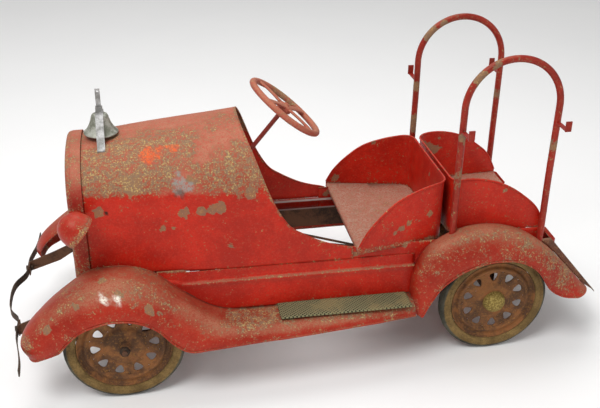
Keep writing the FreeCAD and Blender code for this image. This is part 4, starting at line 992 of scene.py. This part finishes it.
def seat_floor(node):
    """The seat's pan: a sheet with a rolled front edge, worn where a child sits."""
    low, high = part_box(node)
    front = node.startswith("front")
    x_back, x_end = (low.x, high.x) if front else (high.x, low.x)
    sign = 1 if front else -1
    top = high.z
    roll = 5 * MM
    half_end, half_back = high.y, 0.1293
    flat = abs(x_end - x_back) - roll
    columns = 60
    rows = []
    for i in range(45):
        rows.append((x_back + sign * flat * i / 44, top))
    for k in range(1, 9):
        angle = math.pi / 2 * k / 8
        rows.append((x_back + sign * (flat + roll * math.sin(angle)), top - roll * (1 - math.cos(angle))))
    rows.append((x_end, low.z + 0.5 * MM))
    grid = []
    for x, z in rows:
        share = abs(x - x_back) / abs(x_end - x_back)
        half = half_back + (half_end - half_back) * share
        corner = max(0.0, 0.026 - abs(x - x_back))
        half -= 0.026 - math.sqrt(max(0.0, 0.026 ** 2 - corner ** 2))
        line = []
        for j in range(columns + 1):
            p = Vector((x, half * (1 - 2 * j / columns), z))
            edge = min(1.0, (half - abs(p.y)) / 0.02)
            p.z -= (1.1 + noise.noise(p * 12) * 1.0 + noise.noise(p * 30) * 0.35) * MM * edge
            line.append(p)
        grid.append(line)
    shape = Shape()
    shape.sheet(grid, 1.2 * MM, not front)
    seat = Vector(((x_back + x_end) / 2, 0, top))

    def worn(p):
        reach = Vector(((p.x - seat.x) / 0.09, p.y / 0.13, 0)).length
        lip = near(abs(p.x - x_end), 0.010)
        strength = 1.0 if front else 0.35
        return strength * (0.30 * max(0.0, 1.2 - reach) + 0.28 * lip + 0.10)

    build(f"{node}_sheet", shape, "body", PAN_ENAMEL, (node,), {
        "worn": worn, "fade_and_painted_light": lambda p: 0.75 if front else 0.45,
        "grime_and_painted_shade": lambda p: 0.35 * near(0.13 - abs(p.y), 0.01) if abs(p.x - x_back) < 0.1 else 0.0})


def seats():
    seat_wrap("front_seat_back", [
        (322, 289), (305, 321), (277, 354), (237, 387), (191, 405), (151, 414), (120, 417)], (
            ((-0.11, -0.165, 0.30), 0.012), ((-0.20, -0.145, 0.395), 0.008),
            ((-0.190, 0.155, 0.322), 0.010), ((-0.205, 0.15, 0.331), 0.008),
            ((-0.175, 0.158, 0.313), 0.009), ((-0.225, 0.148, 0.334), 0.008),
            ((-0.255, 0.138, 0.345), 0.009), ((-0.289, 0.02, 0.38), 0.008, 0.8),
            ((-0.150, 0.163, 0.300), 0.006)))
    seat_floor("front_seat_pan")
    seat_wrap("rear_seat_back", [
        (-107, 302), (-85, 345), (-53, 375), (-15, 400), (26, 415), (69, 420), (108, 415)], (
            ((-0.330, -0.137, 0.385), 0.020, 0.8), ((-0.355, -0.139, 0.375), 0.016, 0.8),
            ((-0.345, -0.138, 0.345), 0.014, 0.8), ((-0.36, -0.14, 0.40), 0.010, 0.8),
            ((-0.42, 0.143, 0.39), 0.007, 0.8)))
    seat_floor("rear_seat_pan")


# ---------------------------------------------------------------- wheels

WHEEL_PHASES = {"front_wheel_left": 4, "front_wheel_right": 11, "rear_wheel_left": 22, "rear_wheel_right": 3}


def wheel_turn(side):
    """Turns a piece made about +Z so that +Z points out of the car's side."""
    return Matrix.Rotation(math.radians(-90 * side), 4, "X")


def tyre(node, body, side):
    """A solid tyre: a ribbed tread with a rounded shoulder, a stepped sidewall and a bead."""
    outer = WHEEL_RADIUS / MM
    half = span(node).y / MM / 2
    inner = outer - 27
    profile = [(inner + 0.5, -half * 0.75), (inner + 3, -half * 0.92), (outer - 14, -half * 0.99),
               (outer - 9, -half * 0.94), (outer - 4, -half * 0.8), (outer - 1.6, -half * 0.62)]
    for rib in range(5):
        at = half * (-0.5 + 0.25 * rib)
        profile += [(outer - 0.7 - 0.5 * abs(rib - 2), at - 2.2), (outer - 0.3 - 0.5 * abs(rib - 2), at),
                    (outer - 0.7 - 0.5 * abs(rib - 2), at + 1.2),
                    (outer - 1.8 - 0.5 * abs(rib - 2), at + 1.7)]
    profile += [(outer - 3.4, half * 0.76), (outer - 7, half * 0.9), (outer - 11, half * 0.97),
                (outer - 12.2, half * 0.93), (outer - 14, half * 0.985), (outer - 19, half * 0.99),
                (outer - 23, half * 0.94), (inner + 2, half * 0.86), (inner + 0.4, half * 0.74),
                (inner + 0.4, 0), (inner + 0.5, -half * 0.75)]
    shape = Shape()
    shape.lathe([(r * MM, z * MM) for r, z in profile], 180)
    for p in shape.points:
        radial = Vector((p.x, p.y, 0))
        if radial.length > (outer - 16) * MM:
            scale = 1 + noise.noise(p * 60 + Vector((side, 0, 5))) * 0.004 - 0.0025
            p.x *= scale
            p.y *= scale
    centre = middle(node)
    shape.moved(Matrix.Translation(centre) @ wheel_turn(side))
    wall = (outer - 9) * MM

    def sidewall(p):
        reach = math.hypot(p.x - centre.x, p.z - centre.z)
        return clamped((wall - reach) / 0.006 + 0.5)

    build(f"{node}_ribbed", shape, body, RUBBER, (node,), {"sidewall": sidewall})


def pierced_ring(shape, inner, outer, middle_r, count, level):
    """A flat ring with rounded three-cornered holes, their edges turned in."""
    steps = 40
    half_angle = math.pi / count
    for sector in range(count):
        turn = 2 * math.pi * sector / count
        loops = [[], [], [], [], []]
        for k in range(steps):
            angle = 2 * math.pi * k / steps
            c, d = math.cos(angle), math.sin(angle)
            u = 10.2 * MM * math.copysign(abs(c) ** 0.8, c)
            v = (8.0 * MM + 0.30 * u) * math.copysign(abs(d) ** 0.8, d)
            reach = min((outer - middle_r) / c if c > 0 else 9, (inner - middle_r) / c if c < 0 else 9,
                        half_angle * middle_r / abs(d) if abs(d) > 1e-6 else 9)
            far = (middle_r + reach * c, reach * d / middle_r)
            bend = (middle_r + u, v / middle_r)
            for loop, (share, grow, z) in zip(loops, ((0, 1, 0), (0.45, 1, 0.2 * MM), (1, 1.13, 0),
                                                      (1, 1.0, -0.9 * MM),
                                                      (1, 1.0, -2.6 * MM))):
                radius = far[0] + (middle_r + (bend[0] - middle_r) * grow - far[0]) * share
                swing = far[1] + (bend[1] * grow - far[1]) * share
                loop.append(Vector((radius * math.cos(turn + swing), radius * math.sin(turn + swing),
                                    level + z)))
        start = len(shape.points)
        for loop in loops:
            shape.points.extend(loop)
        back = [Vector((p.x, p.y, level - 2.6 * MM)) for p in loops[0]]
        shape.points.extend(back)
        shape.faces.extend(grid_faces(5, steps, True, start))
        for k in range(steps):
            j = (k + 1) % steps
            shape.faces.append((start + 4 * steps + k, start + 4 * steps + j, start + 5 * steps + j,
                                start + 5 * steps + k))


def disc_with_holes(node, body, side):
    """A pressed disc with a raised ring, a dished rim and rounded three-cornered holes."""
    low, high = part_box(node)
    centre = middle(node)
    mid_y = middle(node.replace("wheel", "tyre")).y
    rim = WHEEL_RADIUS - 30 * MM
    shape = Shape()
    hub_part = [(14, 13), (17, 11.6), (21, 10.6), (30, 9.8), (37, 9.3), (41, 8.0), (45, 5.6), (48.5, 4.9)]
    rim_part = [(73.5, 4.9), (75.5, 5.6), (78, 8.4), (81, 9.6), (84, 8.4), (87, 4.8), (90.5, 4.2), (94, 5.6),
                (97, 11.0)]
    for part in (hub_part, rim_part):
        rows = [(r * MM, z * MM) for r, z in smooth_rows(part, 4)]
        shape.lathe(rows, 160)
        shape.lathe([(r, z - 2.4 * MM) for r, z in rows][::-1], 160)
    pierced_ring(shape, 48.5 * MM, 73.5 * MM, 61 * MM, 10, 4.9 * MM)
    back = abs((low.y if side > 0 else high.y) - mid_y)
    reach = abs((high.y if side > 0 else low.y) - mid_y)
    bore = 6.3 * MM
    hub = [(bore, -back), (13 * MM, -back), (14 * MM, -back + 1 * MM), (14 * MM, 12 * MM)]
    if "front" in node:
        hub += [(15.5 * MM, 13 * MM), (15 * MM, 14.4 * MM), (13.4 * MM, 15 * MM), (12.6 * MM, reach - 1 * MM),
                (11.4 * MM, reach), (bore, reach)]
    else:
        hub += [(13.5 * MM, reach - 1 * MM), (12.5 * MM, reach), (bore, reach)]
    shape.lathe(hub + [(bore, -back)], 48)
    lip = [(97, 11.0), (98.6, 11.6), (99.6, 10.8), (98.8, 8), (96.6, 6), (96.6, -6), (98.8, -8),
           (99.6, -10.8),
           (98.6, -11.6), (97, -11.0), (95, -6), (95, 3), (97, 11.0)]
    shape.lathe([(r * MM + rim - 97 * MM, z * MM) for r, z in lip], 160)
    turn = Matrix.Rotation(math.radians(WHEEL_PHASES[node]), 4, "Z")
    shape.moved(Matrix.Translation((centre.x, mid_y, centre.z)) @ wheel_turn(side) @ turn)
    build(f"{node}_disc", shape, body, DISC, (node,))


def hub_cap(node, body, side):
    """A domed cap, spun from brass, with a flanged edge."""
    low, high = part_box(node)
    centre = middle(node)
    reach = span(node).y
    radius = span(node).x / 2
    shape = Shape()
    profile = [(radius * 0.96, 0), (radius, 1 * MM), (radius * 0.985, 2.6 * MM),
               (radius * 0.93, reach * 0.38),
               (radius * 0.80, reach * 0.63), (radius * 0.60, reach * 0.82), (radius * 0.35, reach * 0.95),
               (radius * 0.12, reach), (0.05 * MM, reach)]
    shape.lathe(smooth_rows(profile, 5), 72)
    for p in shape.points:
        p.z += noise.noise(p * 90 + Vector((1, 2, side))) * 0.7 * MM * min(1.0, p.z / (5 * MM))
        p.z = min(p.z, reach + 0.3 * MM)
    base = low.y if side > 0 else high.y
    shape.moved(Matrix.Translation((centre.x, base, centre.z)) @ wheel_turn(side))
    build(f"{node}_dome", shape, body, BRASS, (node,))


def wheels():
    for name, side in SIDES:
        front, rear = f"{name}_front_wheel", "crank" if side > 0 else "right_rear_wheel"
        tyre(f"front_tyre_{name}", front, side)
        tyre(f"rear_tyre_{name}", rear, side)
        disc_with_holes(f"front_wheel_{name}", front, side)
        disc_with_holes(f"rear_wheel_{name}", rear, side)
        hub_cap(f"hub_cap_{name}", rear, side)


# ---------------------------------------------------------------- hoops, steering wheel, bell, lamps

def hoops():
    """Bent rods, a little uneven."""
    for name, side in SIDES:
        low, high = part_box(f"grab_hoop_{name}")
        rod = (high.y - low.y) / 2
        centre = (low + high) / 2
        radius = (high.x - low.x) / 2 - rod
        turn_z = high.z - rod - radius
        path = []
        for k in range(60):
            path.append(Vector((centre.x + radius, centre.y, low.z + (turn_z - low.z) * k / 60)))
        for k in range(61):
            angle = math.pi * k / 60
            path.append(Vector((centre.x + radius * math.cos(angle), centre.y,
                                turn_z + radius * math.sin(angle))))
        for k in range(1, 61):
            path.append(Vector((centre.x - radius, centre.y, turn_z + (low.z - turn_z) * k / 60)))
        for p in path:
            p.x += noise.noise(Vector((p.z * 6, p.x * 2, side))) * 1.0 * MM
            p.y += noise.noise(Vector((p.z * 5, p.x * 3, side + 9))) * 0.8 * MM
        shape = Shape()
        shape.tube(path, rod * 0.985, 20)
        chips = marks_of(
            ((centre.x + 0.076, centre.y, turn_z + 0.066), 0.022, 1.0),
            ((centre.x + 0.1, centre.y, 0.44), 0.03, 0.6),
            ((centre.x + 0.045, centre.y, turn_z + 0.09), 0.016, 0.8),
            ((centre.x - 0.103, centre.y, 0.50), 0.02, 0.7),
            ((centre.x + 0.103, centre.y, 0.53), 0.02, 0.7), ((centre.x, centre.y, turn_z + 0.1), 0.03, 0.4))
        build(f"grab_hoop_{name}_rod", shape, "body", HOOP_ENAMEL,
              (f"grab_hoop_{name}",), {
                  "worn": lambda p: 0.25, "scar": chips,
                  # Lighter over the top, most on the front half: a painted highlight.
                  "fade_and_painted_light": lambda p: 0.5 * clamped((p.z - 0.56) / 0.05) * (1.0 if p.x > centre.x else 0.35)})


def column_turn():
    centre = middle("steering_wheel")
    lean = math.atan2(0.63076, 0.77601)
    return Matrix.Translation(centre) @ Matrix.Rotation(-lean, 4, "Y")


def steering_wheel():
    """A round rim on four pressed spokes with a boss and a nut."""
    section = 6.9 * MM
    rim = span("steering_wheel").y / 2 - 7 * MM
    shape = Shape()
    path = [Vector((rim * math.cos(a), rim * math.sin(a), 0.4 * MM * math.sin(3 * a)))
            for a in (2 * math.pi * k / 96 for k in range(96))]
    shape.tube(path, section, 16, closed=True)
    for quarter in range(4):
        angle = math.radians(45 + 90 * quarter)
        along = Vector((math.cos(angle), math.sin(angle), 0))
        over = Vector((-along.y, along.x, 0))
        rows = []
        for i in range(13):
            share = i / 12
            wide = (8.6 - 2.4 * math.sin(math.pi * share)) * MM
            rise = 1.4 * MM * math.sin(math.pi * share)
            centre = along * (14 * MM + (rim - 14 * MM) * share) + Vector((0, 0, 1.6 * MM + rise))
            rows.append([centre + over * wide * u + Vector((0, 0, -1.8 * MM * u * u))
                         for u in (-1, -0.75, -0.4, 0, 0.4, 0.75, 1)])
        shape.sheet(rows, 3 * MM)
    boss = [(0.05, 9.5), (4, 9.5), (6, 9), (6.4, 6.5), (9, 6.2), (13, 5.4), (16, 3.6), (17, 1.0), (17, -6),
            (15.5, -8), (6, -8)]
    shape.lathe([(radius * MM, height * MM) for radius, height in boss], 48)
    shape.moved(column_turn())
    centre = middle("steering_wheel")
    bare = marks_of((centre + Vector((-0.06, -0.07, 0.055)), 0.04, 0.9),
                    (centre + Vector((0.05, 0.08, -0.03)), 0.02, 0.6),
                    (centre + Vector((0.0, -0.09, 0.0)), 0.045, 0.9), (centre, 0.02, 0.3))
    build("steering_wheel_rim", shape, "steering", WHEEL_ENAMEL,
          ("steering_wheel",), {"worn": lambda p: min(1.0, bare(p) + 0.15), "fade_and_painted_light": lambda p: 0.6})


def bell():
    """A cast bell with a flared lip and a long slot in the crown for the striker to rock in."""
    low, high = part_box("bell")
    r = (high.x - low.x) / 2
    crown = high.z - low.z
    centre = middle("bell")
    outer = [(r * 0.985, 0), (r, 1.2 * MM), (r * 0.985, 2.6 * MM), (r * 0.90, 5.5 * MM), (r * 0.79, 10 * MM),
             (r * 0.69, 16 * MM), (r * 0.60, 23 * MM), (r * 0.535, 30 * MM), (r * 0.49, 36 * MM),
             (r * 0.43, 40 * MM), (r * 0.32, crown - 0.3 * MM), (r * 0.12, crown)]
    inner = [(max(radius - 2 * MM, 0.5 * MM), z - (0 if z < 2 * MM else 1.6 * MM)) for radius,
             z in outer[::-1]]
    shape = Shape()
    shape.lathe(smooth_rows(outer + inner + outer[:1], 4), 80)
    reach, hole = r * 0.42, r * 0.12 - 2 * MM
    for p in shape.points:
        radius = math.hypot(p.x, p.y)
        if radius < reach and p.z > crown - 8 * MM:
            slot = 1 / math.hypot(p.x / radius / (10.5 * MM), p.y / radius / (3 * MM))
            wider = reach - (reach - radius) * (reach - slot) / (reach - hole)
            p.x, p.y = p.x * wider / radius, p.y * wider / radius
    shape.moved(Matrix.Translation((centre.x, centre.y, low.z)))
    build("bell_cast", shape, "body", BELL, ("bell",))


LAMP_PITCH = {"left": 42, "right": 78}


def lamp(name, side):
    """A spun lamp shell: a domed bullet with a band round its open end, dented."""
    node = f"lamp_{name}"
    joint = next(j for j in frame["joints"] if j["name"] == f"{name}_lamp_tilt")
    centre = Vector(joint["pos_m"])
    pitch = LAMP_PITCH[name]
    r = 36 * MM
    outer = [(r - 0.8 * MM, -14 * MM), (r, -13.6 * MM), (r, -9 * MM), (r - 0.5 * MM, -7.4 * MM),
             (r - 0.2 * MM, -6 * MM),
             (r * 0.985, -1 * MM), (r * 0.93, 8 * MM), (r * 0.84, 15.5 * MM), (r * 0.70, 22.5 * MM),
             (r * 0.50, 28.5 * MM), (r * 0.28, 32 * MM), (r * 0.1, 33.6 * MM), (0.05 * MM, 33.8 * MM)]
    inner = [(max(a - 1.5 * MM, 0.04 * MM), z - (0 if z < -13 * MM else 1.4 * MM)) for a, z in outer[::-1]]
    shape = Shape()
    shape.lathe(smooth_rows(outer, 4) + smooth_rows(inner, 3), 80)
    for p in shape.points:
        p.z += noise.noise(p * 45 + Vector((side * 3, 1, 0))) * 1.3 * MM * clamped((p.z + 5 * MM) / (20 * MM))
    boss = len(shape.points)
    shape.lathe([(6.5 * MM, 0), (6.2 * MM, 3.5 * MM), (5 * MM, 4.8 * MM), (0.1 * MM, 5 * MM)], 32)
    shape.moved(Matrix.Translation((0, -side * (r - 2.6 * MM),
                                    0)) @ Matrix.Rotation(math.radians(90 * side), 4, "X"), boss)
    tilt = Matrix.Rotation(math.radians(90 - pitch), 4, "Y")
    shape.moved(Matrix.Translation(centre) @ tilt)
    axis = tilt @ Vector((0, 0, 1))

    def worn(p):
        back = (p - centre).dot(axis)
        return min(1.0, 0.30 + 0.7 * near(abs(back + 0.008), 0.009))

    def fade_and_painted_light(p):
        back = (p - centre).dot(axis)
        return 0.3 + 0.35 * near(abs(back + 0.006), 0.012)

    build(f"{node}_spun", shape, f"{name}_lamp", LAMP_ENAMEL, (node,),
          {"worn": worn, "fade_and_painted_light": fade_and_painted_light})


# ---------------------------------------------------------------- the pieces that stay as they are

def finish_plain_nodes():
    groups = {
        NOSE_ENAMEL: ["radiator_grille"],
        HOOP_ENAMEL: ["hose_hooks"],
        PLATE: ["bell_bracket", "bell_lever"],
        LAMP_ENAMEL: ["lamp_brackets"],
        STRIP: ["bumper", "bumper_bolts", "hub_nut_left", "hub_nut_right"],
        COLUMN: ["steering_column"],
    }
    named = {node: material for material, nodes in groups.items() for node in nodes}
    for node, piece in frame["nodes"].items():
        if piece.hide_render:
            continue
        piece.data.materials.clear()
        piece.data.materials.append(named.get(node, CHASSIS))


ENAMEL = worn_enamel("body_enamel")
SEAT_ENAMEL = worn_enamel("seat_enamel", fade=-0.16)
FENDER_ENAMEL = worn_enamel("fender_enamel", deep=(0.27, 0.010, 0.004), bright=(0.42, 0.020, 0.008),
                            bleached=(0.33, 0.085, 0.045))
PAN_ENAMEL = worn_enamel("seat_pan_enamel", bleached=(0.34, 0.115, 0.08), gloss=0.5,
                         speckle=0.5)
NOSE_ENAMEL = worn_enamel("nose_enamel", deep=(0.26, 0.014, 0.010), bright=(0.42, 0.04, 0.025))
HOOP_ENAMEL = worn_enamel("hoop_enamel", deep=(0.20, 0.008, 0.005), bright=(0.34, 0.018, 0.012), fade=-0.25)
WHEEL_ENAMEL = worn_enamel("steering_wheel_enamel", deep=(0.30, 0.03, 0.025), bright=(0.50, 0.09, 0.075),
                           fade=0.1)
LAMP_ENAMEL = worn_enamel("lamp_enamel", deep=(0.34, 0.012, 0.006), bright=(0.50, 0.03, 0.015), fade=-0.2)
TAIL = worn_enamel("tail_enamel", deep=(0.07, 0.028, 0.018), bright=(0.19, 0.07, 0.04),
                   bleached=(0.24, 0.15, 0.10), wear=0.05, gloss=0.5)
DISC = rusted_disc()
RUBBER = old_rubber("tyre_rubber", (0.028, 0.030, 0.026), (0.135, 0.082, 0.028))
MAT = crosshatch_rubber()
BRASS = dull_brass()
BELL = pitted_plate("bell_casting", (0.40, 0.41, 0.36), (0.18, 0.19, 0.15), 0.3)
PLATE = pitted_plate("bell_strap_plating", (0.50, 0.50, 0.50), (0.26, 0.26, 0.25), 0.5)
STRIP = chassis_scale("bumper_strip", (0.022, 0.018, 0.016), (0.075, 0.05, 0.035))
COLUMN = worn_enamel("column_enamel", deep=(0.20, 0.02, 0.016), bright=(0.36, 0.06, 0.05), wear=0.03)
CHASSIS = chassis_scale("chassis_steel")

set_camera()
set_studio()
hood()
radiator()
front_fenders()
rear_fenders()
side_panels()
sills()
tail()
step_mats()
seats()
wheels()
hoops()
steering_wheel()
bell()
for lamp_name, lamp_side in SIDES:
    lamp(lamp_name, lamp_side)
finish_plain_nodes()

bpy.context.view_layer.update()
